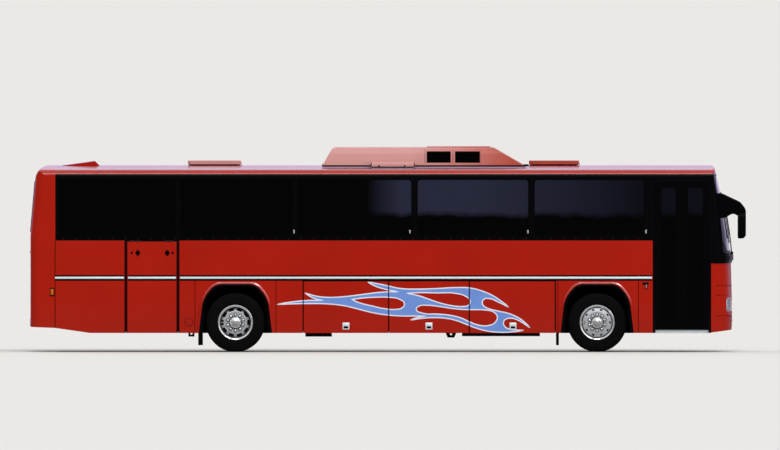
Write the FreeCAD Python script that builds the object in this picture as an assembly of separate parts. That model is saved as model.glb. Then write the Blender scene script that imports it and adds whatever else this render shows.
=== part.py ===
"""A twelve metre touring coach: a hollow body of panels on two axles, with hinged doors and flaps.

X runs forward, Y to the coach's left and Z up from the ground. Lengths are in millimetres.
The origin lies on the ground, midway between the lid's hinge at the tail and the front of the mirrors.
"""

import FreeCAD, Part
import math
import os

from FreeCAD import Vector

os.makedirs("parts", exist_ok=True)

# Overall sizes
body_length = 12000.0
body_width = 2550.0
roof_height = 3180.0
skirt_height = 325.0
wall = 50.0
mirror_reach = 235.0
panel_gap = 6.0
seat_gap = 0.3
overrun = 120.0
kept_cut_share = 0.2

# Hinge barrels, the same on every flap and door
barrel_radius = 7.0
barrel_length = 70.0
barrel_play = 0.4
barrel_stand = 4.0
barrel_share = 0.18

half_width = body_width / 2
inner_half = half_width - wall
tail_reach = barrel_stand + barrel_radius
rear_x = -(body_length + mirror_reach - tail_reach) / 2


def along(distance):
    """The X of a place measured forward from the tail."""
    return rear_x + distance


# The nose and tail in side view: heights, and how far the nose and tail lie from the tail's foot
form_heights = (-overrun, 640.0, 1600.0, 2000.0, 2400.0, 2800.0, 3300.0)
nose_places = (11970.0, 12000.0, 11975.0, 11932.0, 11870.0, 11777.0, 11659.0)
tail_places = (0.0, 0.0, 0.0, 0.0, 34.0, 69.0, 112.0)

# The plan of the nose: where its corner starts, and the shares of the corner's turns
nose_corner_place = 11640.0
first_turn_share = 0.50
second_turn_share = 0.87
second_turn_side_share = 0.82
third_turn_side_share = 0.40
first_cut_share = 0.36
second_cut_share = 0.08
third_cut_share = 0.16
tail_corner_cut = 180.0

# The roof in cross section and in side view
shoulder_height = 3120.0
shoulder_cut = 125.0
crown_side_share = 0.45
crown_cut_share = 0.18
roof_front_cut = 80.0
roof_rear_cut = 240.0

# The underside's rise at tail and nose
tail_lift_places = (0.0, 419.0, 1017.0)
tail_lift_heights = (428.0, 411.0, 325.0)
nose_lift_places = (11585.0, 11990.0)
nose_lift_heights = (325.0, 378.0)

# Where the body's panels meet
rear_joint_place = 420.0
front_joint_place = 11640.0
cant_height = 3044.0

# Side windows: pillar centres, pillar width and the band's ends
window_sill = 1984.0
window_head = 2962.0
window_start_place = 470.0
pillar_places = (2522.0, 4523.0, 6566.0, 8567.0, 10542.0)
pillar_width = 77.0
window_corner_cut = 70.0
cab_window_places = (10700.0, 11560.0)
cab_window_sill = 1750.0
glass_thickness = 6.0
glass_setback = 4.0

# Windscreen and rear window
screen_sill = 1715.0
screen_head = 3020.0
screen_side_share = 0.94
screen_corner_cut = 150.0
rear_window_sill = 2050.0
rear_window_head = 2900.0
rear_window_half = 940.0
rear_window_cut = 120.0
rear_window_depth = 200.0
lid_depth = 100.0

# Entry door: its jambs, and the two leaves that fold inwards
door_rear_place = 10679.0
door_front_place = 11602.0
door_foot = 394.0
door_head = 2907.0
leaf_thickness = 40.0
leaf_gap = 4.0
leaf_pin_offset = 3.0
leaf_glass_margin = 92.0
leaf_glass_sill = 560.0
leaf_glass_head = 2820.0
leaf_glass_cut = 40.0

# Luggage and service flaps, hung from their top edges
luggage_edges = (4663.0, 6125.0, 7505.0, 8976.0)
luggage_head = 1240.0
service_edges = (1633.0, 2522.0)
service_head = 1900.0
lid_half = 930.0
lid_foot = 560.0
lid_head = 1700.0

# Wheels and tyres
rear_axle_place = 3505.0
front_axle_place = 9690.0
tyre_radius = 505.0
tyre_width = 280.0
tyre_rise_shares = (0.16, 0.45, 0.76, 0.93, 1.0)
tyre_width_shares = (0.96, 1.0, 0.97, 0.87, 0.70)
tyre_lip_clearance = 4.0
bead_radius = 292.0
rim_lip_radius = 298.0
rim_wall = 14.0
rim_well_radius = 262.0
rim_half_width = 118.0
disc_thickness = 18.0
front_disc_depth = 46.0
rear_disc_depth = 104.0
disc_rise = 26.0
hand_hole_count = 10
hand_hole_circle = 222.0
front_hand_hole = (30.0, 44.0)
rear_hand_hole = (44.0, 96.0)
hand_hole_cut_share = 0.45
disc_knee_radius = 188.0
nut_count = 10
nut_circle = 137.0
nut_radius = 19.0
nut_height = 34.0
nut_taper_share = 0.6
hub_radius = 112.0
hub_cap_radius = 97.0
hub_cap_height = 62.0
hub_cap_taper_share = 0.6
spindle_radius = 48.0
spindle_play = 0.3
front_wheel_y = 1070.0
rear_outer_y = 1110.0
twin_spacing = 335.0

# Wheel arches: shares of the half width at the foot, the shoulder and the top
arch_half = 592.0
arch_top = 1129.0
arch_shoulder_share = 0.88
arch_shoulder_height = 905.0
arch_top_share = 0.52
arch_shoulder_cut = 170.0
arch_top_cut = 120.0
arch_shoulder_grow_share = 0.5

# The flares round the arches: margins from the wall outwards, and how far each lies from the wall
flare_margins = (72.0, 66.0, 50.0, 22.0)
flare_stands = (0.0, 14.0, 24.0, 30.0)

# Steering
kingpin_y = 900.0
kingpin_radius = 24.0
beam_height = 120.0
beam_width = 110.0
beam_drop = 60.0
beam_level_share = 0.75
eye_radius = 62.0
eye_height = 150.0
fork_height = 40.0
knuckle_plate_radius = 195.0
knuckle_plate_width = 24.0

# Floor, luggage bays and chassis
floor_top = 1290.0
floor_thickness = 50.0
bay_floor_bottom = 345.0
bay_floor_thickness = 30.0
bay_wall = 28.0
bay_inset = 20.0
rail_y = 410.0
rail_width = 80.0
rail_bottom = 760.0
rail_height = 240.0
rail_start_place = 330.0
rail_end_place = 10600.0
crossmember_places = (340.0, 2450.0, 4300.0, 9180.0, 10300.0)
crossmember_width = 70.0

# Lashing eyes: plates that hang below the skirt from the rear rails and from the luggage floor
lashing_radius = 20.0
rear_lashing_places = (2659.0, 2847.0)
rear_lashing_foot = 257.0
rear_lashing_height = 300.0
front_lashing_places = (7088.0, 7293.0)
front_lashing_foot = 240.0
front_lashing_height = 293.0
lashing_taper = 45.0

# Engine, gearbox, propeller shaft and rear axle
engine_places = (480.0, 1720.0)
engine_half = 380.0
engine_bottom = 520.0
engine_top = 1180.0
gearbox_radius = 230.0
gearbox_length = 620.0
shaft_radius = 45.0
axle_tube_radius = 88.0
banjo_radius = 205.0
banjo_half = 150.0
pinion_reach_share = 1.5
axle_tube_clearance = 18.0
gearbox_height = 700.0
yoke_radius = 62.0
yoke_length = 70.0
mount_thickness = 90.0

# Fuel tank and air springs
tank_places = (4230.0, 4610.0)
tank_half = 1150.0
tank_bottom = 400.0
tank_cut = 80.0
spring_radius = 110.0
spring_waist = 88.0
spring_offset = 330.0
spring_arm_height = 100.0
spring_arm_width = 100.0
spring_arm_reach = 430.0

# Wheel housings: liners over the wheels and flaps behind them
liner_thickness = 6.0
liner_inner_y = 575.0
liner_notch_half = 170.0
liner_notch_head = 640.0
front_liner_margin = 62.0
rear_liner_margin = 12.0
flap_thickness = 24.0
flap_foot = 115.0
flap_head = 700.0

# Trays hung under the luggage floor: rear edge, front edge and depth
tray_places = ((4700.0, 5155.0, 85.0), (7378.0, 8712.0, 78.0))
tray_half = 880.0

# Roof unit with its louvred openings, and the scoop at the tail
unit_base_places = (4963.0, 8545.0)
unit_top_places = (5173.0, 7909.0)
unit_top = 3489.0
unit_half = 950.0
unit_top_half = 880.0
unit_cut = 60.0
unit_shoulder_cut = 110.0
vent_places = ((6775.0, 7187.0), (7259.0, 7681.0))
vent_foot = 3232.0
vent_head = 3430.0
vent_depth = 70.0
vent_back = 840.0
slat_count = 5
slat_thickness = 7.0
slat_width = 46.0
slat_drop = 16.0
unit_plate_places = (6780.0, 7860.0)
unit_plate_half = 560.0
unit_plate_thickness = 16.0
unit_cover_places = (5834.0, 6556.0)
unit_cover_half = 1085.0
unit_cover_top = 3251.0
unit_cover_cut = 45.0
scoop_places = (539.0, 1240.0)
scoop_peak_place = 1103.0
scoop_top = 3258.0
scoop_half = 520.0
scoop_cut = 20.0

# Roof hatches: rear and front edges of each lid
hatch_places = ((2693.0, 3600.0), (8524.0, 9379.0))
hatch_half = 400.0
hatch_foot = 3203.0
hatch_head = 3262.0
hatch_cut = 60.0
hatch_hole_cut = 8.0
kerb_inset = 46.0
kerb_wall = 30.0

# Mirrors
mirror_root_place = 11640.0
mirror_arm_y = (1165.0, 1235.0)
mirror_head_y = (1120.0, 1370.0)
mirror_top_places = (11780.0, 12140.0, 12235.0)
mirror_top_heights = (2715.0, 2545.0, 2420.0)
mirror_foot_heights = (1990.0, 1941.0)
mirror_face_place = 12095.0
mirror_under_places = (12010.0, 11876.0)
mirror_under_heights = (2372.0, 2290.0)
mirror_cut = 42.0
mirror_head_cut = 70.0
mirror_elbow_height = 2330.0

# Lamps, set into the nose and tail
head_lamp_y = (640.0, 1130.0)
head_lamp_heights = (690.0, 930.0)
tail_lamp_y = (985.0, 1160.0)
tail_lamp_heights = (880.0, 1640.0)
lamp_cut = 30.0
lamp_depth = 40.0

# The black ledge under the windscreen
ledge_foot = 1522.0
ledge_head = 1694.0
ledge_stand = 45.0
ledge_edge_share = 0.25
ledge_form_height = 1600.0
ledge_start_place = 11690.0

# Slots of the engine lid and of the grille between the head lamps
lid_slot_heights = (760.0, 1400.0)
lid_slot_half = 700.0
lid_slot_count = 8
grille_heights = (470.0, 900.0)
grille_half = 560.0
grille_slot_count = 6
slot_share = 0.5
slot_depth = 26.0

# The round filler cap ahead of each rear service flap
filler_place = 2710.0
filler_height = 514.0
filler_radius = 77.0
filler_cap_radius = 66.0
filler_depth = 12.0

# Dashboard, steering wheel and seats
dash_places = (11520.0, 11440.0, 11520.0, 11990.0)
dash_heights = (1290.0, 1690.0, 1790.0, 1700.0)
wheel_place = 11230.0
wheel_y = 640.0
wheel_height = 1985.0
wheel_ring_radius = 215.0
wheel_ring_tube = 17.0
wheel_tilt = 28.0
column_radius = 38.0
column_length = 430.0
seat_pitch = 800.0
seat_first_place = 1080.0
seat_rows = 12
aisle_half = 235.0
seat_width = 950.0
seat_height = 430.0
seat_depth = 470.0
seat_pad = 130.0
seat_back_height = 1130.0
seat_back_lean = 150.0
seat_back_thickness = 115.0
seat_leg_inset = 120.0
seat_cut = 40.0
driver_place = 10760.0
driver_width = 520.0
rack_wall_heights = (2560.0, 2700.0)
rack_lip_heights = (2650.0, 2740.0)
rack_lip_y = 860.0
rack_places = (700.0, 10500.0)

# Steps inside the door
step_heights = (372.0, 678.0, 984.0)
step_depths = (540.0, 260.0, 250.0)
step_thickness = 30.0


def soft_loop(points, cuts, inset=0.0):
    """A closed wire through flat points. An arc rounds each corner from its cut, and an inset shrinks it all."""
    corners = []
    count = len(points)
    for i in range(count):
        here = points[i]
        back = (points[i - 1] - here).normalize()
        ahead = (points[(i + 1) % count] - here).normalize()
        half_angle = back.getAngle(ahead) / 2
        cut = cuts[i]
        if inset:
            here = here + (back + ahead) * (inset / math.sin(2 * half_angle))
            cut = max(cut - inset / math.tan(half_angle), cut * kept_cut_share) if cut else 0
        corners.append((here, back, ahead, half_angle, cut))
    edges = []
    for i, (here, back, ahead, half_angle, cut) in enumerate(corners):
        start = here + back * cut
        end = here + ahead * cut
        if cut:
            reach = cut / math.cos(half_angle) - cut * math.tan(half_angle)
            middle = here + (back + ahead).normalize() * reach
            edges.append(Part.Arc(start, middle, end).toShape())
        onward, onward_back, _, _, onward_cut = corners[(i + 1) % count]
        edges.append(Part.makeLine(end, onward + onward_back * onward_cut))
    return Part.Wire(edges)


def prism(wire, way):
    """A solid drawn from a closed flat wire along a vector."""
    return Part.Face(wire).extrude(way)


def box(x0, x1, y0, y1, z0, z1):
    """A box between two values on each axis."""
    return Part.makeBox(x1 - x0, y1 - y0, z1 - z0, Vector(x0, y0, z0))


def tube(x, y, z, way, radius, length):
    """A round bar from a point along a unit vector."""
    return Part.makeCylinder(radius, length, Vector(x, y, z), way)


def mirrored(shape):
    """The same shape on the coach's other side."""
    return shape.mirror(Vector(0, 0, 0), Vector(0, 1, 0))


def fused(shapes):
    """One shape of many, without the seams."""
    first, *rest = shapes
    return first.fuse(rest).removeSplitter() if rest else first


def side_window(x0, x1, z0, z1, cut, y0, y1):
    """A block with rounded corners through a side wall, between two Y."""
    points = [Vector(x0, y0, z0), Vector(x1, y0, z0), Vector(x1, y0, z1), Vector(x0, y0, z1)]
    return prism(soft_loop(points, [cut] * len(points)), Vector(0, y1 - y0, 0))


def end_window(y_half, z0, z1, cut, x0, x1):
    """A block with rounded corners through the nose or tail, between two X."""
    points = [Vector(x0, -y_half, z0), Vector(x0, y_half, z0), Vector(x0, y_half, z1), Vector(x0, -y_half, z1)]
    return prism(soft_loop(points, [cut] * len(points)), Vector(x1 - x0, 0, 0))


def plan_wire(height, nose, tail, inset):
    """The body's outline in plan at one height: square at the tail, bowed at the nose."""
    depth = nose - nose_corner_place
    turn_1 = nose_corner_place + first_turn_share * depth
    turn_2 = nose_corner_place + second_turn_share * depth
    half_outline = [
        (tail, half_width, tail_corner_cut),
        (turn_1, half_width, first_cut_share * depth),
        (turn_2, second_turn_side_share * half_width, second_cut_share * half_width),
        (nose, third_turn_side_share * half_width, third_cut_share * half_width),
    ]
    right = [(Vector(along(x), -y, height), cut) for x, y, cut in half_outline]
    left = [(Vector(along(x), y, height), cut) for x, y, cut in reversed(half_outline)]
    points, cuts = zip(*(right + left))
    return soft_loop(list(points), list(cuts), inset)


def roof_form(inset):
    """The block that rounds the body's shoulders and crown, drawn in cross section."""
    crown = crown_side_share * half_width
    crown_cut = crown_cut_share * half_width
    x = along(-overrun)
    outline = [
        (-half_width, -overrun, 0),
        (half_width, -overrun, 0),
        (half_width, shoulder_height, shoulder_cut),
        (crown, roof_height, crown_cut),
        (-crown, roof_height, crown_cut),
        (-half_width, shoulder_height, shoulder_cut),
    ]
    points = [Vector(x, y, z) for y, z, _ in outline]
    cuts = [cut for _, _, cut in outline]
    return prism(soft_loop(points, cuts, inset), Vector(body_length + 2 * overrun, 0, 0))


def rake_place(places, height):
    """Where the straight line through the two highest form points lies at a height."""
    run = (height - form_heights[-1]) / (form_heights[-2] - form_heights[-1])
    return places[-1] + (places[-2] - places[-1]) * run


def rake_form(inset):
    """The block that rounds the roof's front and rear edges, drawn in side view."""
    low, high = -overrun, roof_height
    y = -half_width - overrun
    outline = [
        (rake_place(tail_places, low), low, 0),
        (rake_place(nose_places, low), low, 0),
        (rake_place(nose_places, high), high, roof_front_cut),
        (rake_place(tail_places, high), high, roof_rear_cut),
    ]
    points = [Vector(along(x), y, z) for x, z, _ in outline]
    cuts = [cut for _, _, cut in outline]
    return prism(soft_loop(points, cuts, inset), Vector(0, body_width + 2 * overrun, 0))


def hull(inset):
    """The whole body's form, shrunk by an inset and open-ended downwards."""
    wires = [plan_wire(z, nose, tail, inset) for z, nose, tail in zip(form_heights, nose_places, tail_places)]
    return Part.makeLoft(wires, True, True).common(roof_form(inset)).common(rake_form(inset))


def below_body():
    """What lies under the skirts, to be taken from the body."""
    y = -half_width - overrun
    rise = list(zip(tail_lift_places, tail_lift_heights)) + list(zip(nose_lift_places, nose_lift_heights))
    outline = [(rise[0][0] - overrun, rise[0][1])] + rise + [(body_length + overrun, rise[-1][1])]
    outline += [(body_length + overrun, -2 * overrun), (-overrun, -2 * overrun)]
    points = [Vector(along(x), y, z) for x, z in outline]
    return prism(Part.makePolygon(points + points[:1]), Vector(0, body_width + 2 * overrun, 0))


outer_form = hull(0.0)
inner_form = hull(wall)
skin_form = hull(-seat_gap)
dash_form = hull(wall + seat_gap)
leaf_jamb_y = -half_width + leaf_thickness + leaf_pin_offset
leaf_seam_y = -half_width - leaf_pin_offset
body_floor = below_body()
shell = outer_form.cut(inner_form).cut(body_floor)
far_x0, far_x1 = along(-overrun), along(body_length + overrun)
far_y = half_width + overrun
far_z = roof_height + overrun


def shell_part(x0, x1, y0, y1, z0, z1):
    """The stretch of the body's wall inside a box."""
    return shell.common(box(x0, x1, y0, y1, z0, z1))


def hinge_line(start, way, length, stations):
    """Middle points of the hinges along a pivot line."""
    return [start + way * (length * share) for share in stations]


def barrels(middle, way, grow=0.0):
    """The centre barrel of a hinge, which moves, and its two outer barrels, which stay."""
    reach = barrel_length + 2 * grow
    radius = barrel_radius + grow
    made = []
    for step in (-1, 0, 1):
        start = middle + way * (step * (barrel_length + barrel_play) - reach / 2)
        made.append(Part.makeCylinder(radius, reach, start, way))
    return made[1], made[0].fuse(made[2])


def hang(panel, frame, start, way, length):
    """Hang a panel on its frame by two hinges near the ends of a pivot line."""
    for middle in hinge_line(start, way, length, (barrel_share, 1 - barrel_share)):
        moving_room, fixed_room = barrels(middle, way, barrel_play)
        moving, fixed = barrels(middle, way)
        panel = panel.cut(fixed_room).fuse(moving)
        frame = frame.cut(moving_room).fuse(fixed)
    return panel, frame


def hang_hatch(lid, roof, start):
    """Hang a roof hatch's lid on the roof by hinges whose feet stand on the roof."""
    way = Vector(0, 1, 0)
    length = 2 * hatch_half
    feet = []
    for middle in hinge_line(start, way, length, (barrel_share, 1 - barrel_share)):
        for step in (-1, 1):
            y = middle.y + step * (barrel_length + barrel_play)
            x0, x1 = start.x - barrel_stand + barrel_play, start.x + barrel_radius
            feet.append(box(x0, x1, y - barrel_length / 2, y + barrel_length / 2, cant_height + wall, start.z))
    for foot in feet:
        roof = roof.fuse(foot.cut(inner_form))
    return hang(lid, roof, start, way, length)


def side_flap(frame, x0, x1, head, side):
    """A flap cut from a side wall and hung outside its top edge. Returns the flap and the wall."""
    y0, y1 = (-far_y, 0) if side < 0 else (0, far_y)
    inset = panel_gap / 2
    flap = shell_part(along(x0) + inset, along(x1) - inset, y0, y1, -overrun, head - panel_gap)
    frame = frame.cut(box(along(x0) - inset, along(x1) + inset, y0, y1, -overrun, head))
    start = Vector(along(x0), side * (half_width + barrel_stand), head - inset)
    return hang(flap, frame, start, Vector(1, 0, 0), x1 - x0)


def arch_wire(place, margin, y, foot):
    """The outline of a wheel arch at a Y, grown by a margin: flat on top, with rounded shoulders."""
    shoulder = arch_shoulder_height + margin * arch_shoulder_grow_share
    left = [
        (-arch_half - margin, foot, 0),
        (-arch_shoulder_share * arch_half - margin, shoulder, arch_shoulder_cut),
        (-arch_top_share * arch_half - margin, arch_top + margin, arch_top_cut),
    ]
    whole = left + [(-x, z, cut) for x, z, cut in reversed(left)]
    points = [Vector(along(place) + x, y, z) for x, z, _ in whole]
    return soft_loop(points, [cut for _, _, cut in whole])


def arch_block(place, margin, y0, y1, foot):
    """A wheel arch's outline drawn between two Y."""
    return prism(arch_wire(place, margin, y0, foot), Vector(0, y1 - y0, 0))


def window_spans():
    """Front and rear edges of the side windows, from the tail forward."""
    half_pillar = pillar_width / 2
    starts = (window_start_place,) + tuple(p + half_pillar for p in pillar_places[:-1])
    ends = tuple(p - half_pillar for p in pillar_places)
    return list(zip(starts, ends))


def side_panes(side):
    """Blocks through one side wall for its windows."""
    y0, y1 = side * (inner_half - wall), side * far_y
    blocks = [
        side_window(along(x0), along(x1), window_sill, window_head, window_corner_cut, y0, y1)
        for x0, x1 in window_spans()
    ]
    if side > 0:
        x0, x1 = cab_window_places
        blocks.append(side_window(along(x0), along(x1), cab_window_sill, door_head, window_corner_cut, y0, y1))
    return blocks


def glass_layer():
    """The thin skin inside the body's surface in which the panes lie."""
    return hull(glass_setback).cut(hull(glass_setback + glass_thickness))


def door_block():
    """The entry doorway's opening in the right-hand wall, down through the sill."""
    return box(along(door_rear_place), along(door_front_place), -far_y, -inner_half + wall, -overrun, door_head)


def side_wall(side):
    """One side of the body with its windows, arches and flaps. Returns the wall and its flaps."""
    y0, y1 = (-far_y, 0) if side < 0 else (0, far_y)
    panel = shell_part(along(rear_joint_place), along(front_joint_place), y0, y1, -overrun, cant_height)
    for block in side_panes(side):
        panel = panel.cut(block)
    for place in (rear_axle_place, front_axle_place):
        panel = panel.cut(arch_block(place, 0.0, y0, y1, -overrun))
    if side < 0:
        panel = panel.cut(door_block())
    flaps = []
    for x0, x1 in zip(luggage_edges[:-1], luggage_edges[1:]):
        flap, panel = side_flap(panel, x0, x1, luggage_head, side)
        flaps.append(flap)
    service, panel = side_flap(panel, *service_edges, service_head, side)
    return panel.cut(filler_groove(side)), flaps, service


def arch_lips(side):
    """Flares round the two wheel arches of one side, each rounded off outwards."""
    lips = []
    for place in (rear_axle_place, front_axle_place):
        wires = [
            arch_wire(place, margin, side * (half_width + stand), skirt_height)
            for margin, stand in zip(flare_margins, flare_stands)
        ]
        whole = Part.makeLoft(wires, True, True)
        lips.append(whole.cut(arch_block(place, 0.0, side * inner_half, side * far_y, -overrun)))
    return lips


def filler_groove(side):
    """The ring-shaped gap round a filler cap in one side wall."""
    start = side * (half_width - filler_depth)
    centre = (along(filler_place), start, filler_height, Vector(0, side, 0))
    return tube(*centre, filler_radius, overrun).cut(tube(*centre, filler_cap_radius, overrun))


def slots(y_half, heights, count, x0, x1):
    """Level slots one above another across the nose or tail, as blocks between two X."""
    pitch = (heights[1] - heights[0]) / count
    return [
        box(x0, x1, -y_half, y_half, heights[0] + pitch * i, heights[0] + pitch * (i + slot_share))
        for i in range(count)
    ]


def rear_mask():
    """The tail moulding with the rear window and the engine lid's opening. Returns the tail and the lid."""
    tail = shell_part(far_x0, along(rear_joint_place), -far_y, far_y, -overrun, far_z)
    spans = (far_x0, along(rear_window_depth))
    block = end_window(rear_window_half, rear_window_sill, rear_window_head, rear_window_cut, *spans)
    tail = tail.cut(block)
    inset = panel_gap / 2
    deep = along(lid_depth)
    lid = tail.common(box(far_x0, deep, -lid_half + inset, lid_half - inset, lid_foot + inset, lid_head - panel_gap))
    tail = tail.cut(box(far_x0, deep, -lid_half - inset, lid_half + inset, lid_foot - inset, lid_head))
    start = Vector(along(-barrel_stand), -lid_half, lid_head - inset)
    lid, tail = hang(lid, tail, start, Vector(0, 1, 0), 2 * lid_half)
    for slot in slots(lid_slot_half, lid_slot_heights, lid_slot_count, far_x0, along(slot_depth)):
        lid = lid.cut(slot)
    return tail, lid, block


def front_mask():
    """The nose moulding with the windscreen's opening."""
    nose = shell_part(along(front_joint_place), far_x1, -far_y, far_y, -overrun, far_z)
    block = end_window(
        screen_side_share * half_width, screen_sill, screen_head, screen_corner_cut, along(front_joint_place), far_x1
    )
    nose = nose.cut(block)
    skin = outer_form.cut(hull(slot_depth))
    for slot in slots(grille_half, grille_heights, grille_slot_count, along(front_joint_place), far_x1):
        nose = nose.cut(skin.common(slot))
    return nose, block


def ring(profile, x, z):
    """A solid turned about a wheel's axis from (radius, y) points."""
    points = [Vector(x + r, y, z) for r, y in profile]
    face = Part.Face(Part.makePolygon(points + points[:1]))
    return face.revolve(Vector(x, 0, z), Vector(0, 1, 0), 360)


def tyre(x, y):
    """A tyre: a closed ring whose beads stand inside the rim's lips and whose walls bulge beyond them."""
    half = tyre_width / 2
    bead = rim_half_width - seat_gap
    foot = rim_lip_radius + tyre_lip_clearance
    rise = tyre_radius - foot
    right = [(bead_radius, -bead), (foot, -bead)]
    right += [(foot + rise * up, -half * out) for up, out in zip(tyre_rise_shares, tyre_width_shares)]
    left = [(r, -v) for r, v in reversed(right)]
    return ring([(r, y + v) for r, v in right + left], x, tyre_radius)


def rim_barrel(x, y):
    """The rim's drop-centre barrel with its two lips."""
    w = rim_half_width
    t = rim_wall
    lip, seat, well = rim_lip_radius, bead_radius - seat_gap, rim_well_radius
    outside = [(lip, -w - t), (lip, -w), (seat, -w), (seat, -w / 2), (well, -w / 4), (well, w / 4)]
    outside += [(seat, w / 2), (seat, w), (lip, w), (lip, w + t)]
    inside = [(seat - t, w + t), (seat - t, w / 2), (well - t, w / 4), (well - t, -w / 4), (seat - t, -w / 2)]
    inside += [(seat - t, -w - t)]
    return ring([(r, y + v) for r, v in outside + inside], x, tyre_radius)


def hand_hole(x, y0, y1, turn, size):
    """An oblong block through a wheel's disc, its long sides square to the spoke at one turn."""
    height, length = size
    spoke = Vector(math.cos(turn), 0, math.sin(turn))
    across = Vector(-math.sin(turn), 0, math.cos(turn))
    middle = Vector(x, y0, tyre_radius) + spoke * hand_hole_circle
    up = spoke * (height / 2)
    on = across * (length / 2)
    points = [middle - up - on, middle - up + on, middle + up + on, middle + up - on]
    return prism(soft_loop(points, [height * hand_hole_cut_share] * len(points)), Vector(0, y1 - y0, 0))


def wheel_disc(x, y, out, depth, hole_size):
    """A dished disc set back in its rim, with hand holes, nuts and a hub cap. Its hub is open inwards."""
    face = y + out * (rim_half_width + rim_wall - depth)
    back = face - out * disc_thickness
    edge = bead_radius - seat_gap - rim_wall / 2
    knee = disc_knee_radius
    rise = out * disc_rise
    profile = [(edge, face), (knee, face + rise), (hub_cap_radius, face + rise)]
    profile += [(0, face + rise), (0, back + rise), (knee, back + rise), (edge, back)]
    disc = ring(profile, x, tyre_radius)
    for i in range(hand_hole_count):
        turn = 2 * math.pi * i / hand_hole_count
        disc = disc.cut(hand_hole(x, back - out * overrun, back + out * overrun, turn, hole_size))
    way = Vector(0, out, 0)
    pieces = [disc]
    for i in range(nut_count):
        turn = 2 * math.pi * (i + 0.5) / nut_count
        seat_at = Vector(x + nut_circle * math.cos(turn), face + rise, tyre_radius + nut_circle * math.sin(turn))
        pieces.append(Part.makeCone(nut_radius, nut_radius * nut_taper_share, nut_height, seat_at, way))
    cap_at = Vector(x, face + rise, tyre_radius)
    pieces.append(Part.makeCone(hub_cap_radius, hub_cap_radius * hub_cap_taper_share, hub_cap_height, cap_at, way))
    return fused(pieces), face + rise


def wheel_rim(x, y, out, hub_inner_y, depth, hole_size, extra=()):
    """A whole wheel without its tyre, with a hub bored to turn on its spindle."""
    disc, cap_seat = wheel_disc(x, y, out, depth, hole_size)
    way = Vector(0, out, 0)
    hub_length = abs(cap_seat - hub_inner_y)
    hub = tube(x, hub_inner_y, tyre_radius, way, hub_radius, hub_length)
    bore_length = hub_length + overrun - disc_thickness
    bore = tube(x, hub_inner_y - out * overrun, tyre_radius, way, spindle_radius + spindle_play, bore_length)
    return fused([rim_barrel(x, y), disc, hub, *extra]).cut(bore)


def twin_disc(x, y, out):
    """The plain disc that joins the inner twin's barrel to the hub."""
    edge = bead_radius - seat_gap - rim_wall / 2
    face = y + out * rim_half_width / 2
    back = face - out * disc_thickness
    return ring([(hub_radius / 2, face), (edge, face), (edge, back), (hub_radius / 2, back)], x, tyre_radius)


def front_axle():
    """A dropped beam with an eye at each end for its kingpin."""
    x = along(front_axle_place)
    z = tyre_radius
    y1 = kingpin_y - eye_radius / 2
    level = y1 * beam_level_share
    low = z - beam_drop
    outline = [
        Vector(x - beam_width / 2, -y1, z - beam_height / 2),
        Vector(x - beam_width / 2, -level, low - beam_height / 2),
        Vector(x - beam_width / 2, level, low - beam_height / 2),
        Vector(x - beam_width / 2, y1, z - beam_height / 2),
        Vector(x - beam_width / 2, y1, z + beam_height / 2),
        Vector(x - beam_width / 2, level, low + beam_height / 2),
        Vector(x - beam_width / 2, -level, low + beam_height / 2),
        Vector(x - beam_width / 2, -y1, z + beam_height / 2),
    ]
    beam = prism(Part.makePolygon(outline + outline[:1]), Vector(beam_width, 0, 0))
    up = Vector(0, 0, 1)
    for side in (-1, 1):
        y = side * kingpin_y
        beam = beam.fuse(tube(x, y, z - eye_height / 2, up, eye_radius, eye_height))
        beam = beam.cut(tube(x, y, z - overrun, up, kingpin_radius + spindle_play, 2 * overrun))
    return beam.removeSplitter()


def knuckle(side):
    """A fork on its kingpin, with the brake's back plate and the spindle that the wheel turns on."""
    x = along(front_axle_place)
    z = tyre_radius
    y = side * kingpin_y
    up = Vector(0, 0, 1)
    out = Vector(0, side, 0)
    pin_reach = eye_height / 2 + seat_gap + fork_height
    pieces = [tube(x, y, z - pin_reach, up, kingpin_radius, 2 * pin_reach)]
    plate_y = y + side * (eye_radius + panel_gap)
    for low in (z + eye_height / 2 + seat_gap, z - eye_height / 2 - seat_gap - fork_height):
        pieces.append(tube(x, y, low, up, eye_radius, fork_height))
        arm = sorted((y, plate_y + side * knuckle_plate_width / 2))
        pieces.append(box(x - eye_radius, x + eye_radius, *arm, low, low + fork_height))
    pieces.append(tube(x, plate_y, z, out, knuckle_plate_radius, knuckle_plate_width))
    spindle_end = side * (front_wheel_y + rim_half_width - front_disc_depth)
    pieces.append(tube(x, plate_y, z, out, spindle_radius, abs(spindle_end - plate_y) - disc_thickness))
    return fused(pieces), plate_y + side * knuckle_plate_width


def rear_axle():
    """The driving axle: a tube, the round drive housing and a spindle at each end."""
    x = along(rear_axle_place)
    z = tyre_radius
    out = Vector(0, 1, 0)
    tube_half = rear_outer_y - twin_spacing - tyre_width / 2 - axle_tube_clearance
    pieces = [tube(x, -tube_half, z, out, axle_tube_radius, 2 * tube_half)]
    pieces.append(tube(x, -banjo_half, z, out, banjo_radius, 2 * banjo_half))
    nose = tube(x - banjo_radius * pinion_reach_share, 0, z, Vector(1, 0, 0), axle_tube_radius, banjo_radius)
    pieces.append(nose)
    for side in (-1, 1):
        middle = side * (rail_y + rail_width / 2)
        y = (middle - spring_arm_width / 2, middle + spring_arm_width / 2)
        half = spring_arm_height / 2
        pieces.append(box(x - spring_arm_reach, x + spring_arm_reach, *y, z - half, z + half))
    spindle_half = rear_outer_y + rim_half_width - rear_disc_depth - disc_thickness
    pieces.append(tube(x, -spindle_half, z, out, spindle_radius, 2 * spindle_half))
    return fused(pieces), tube_half


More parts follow.
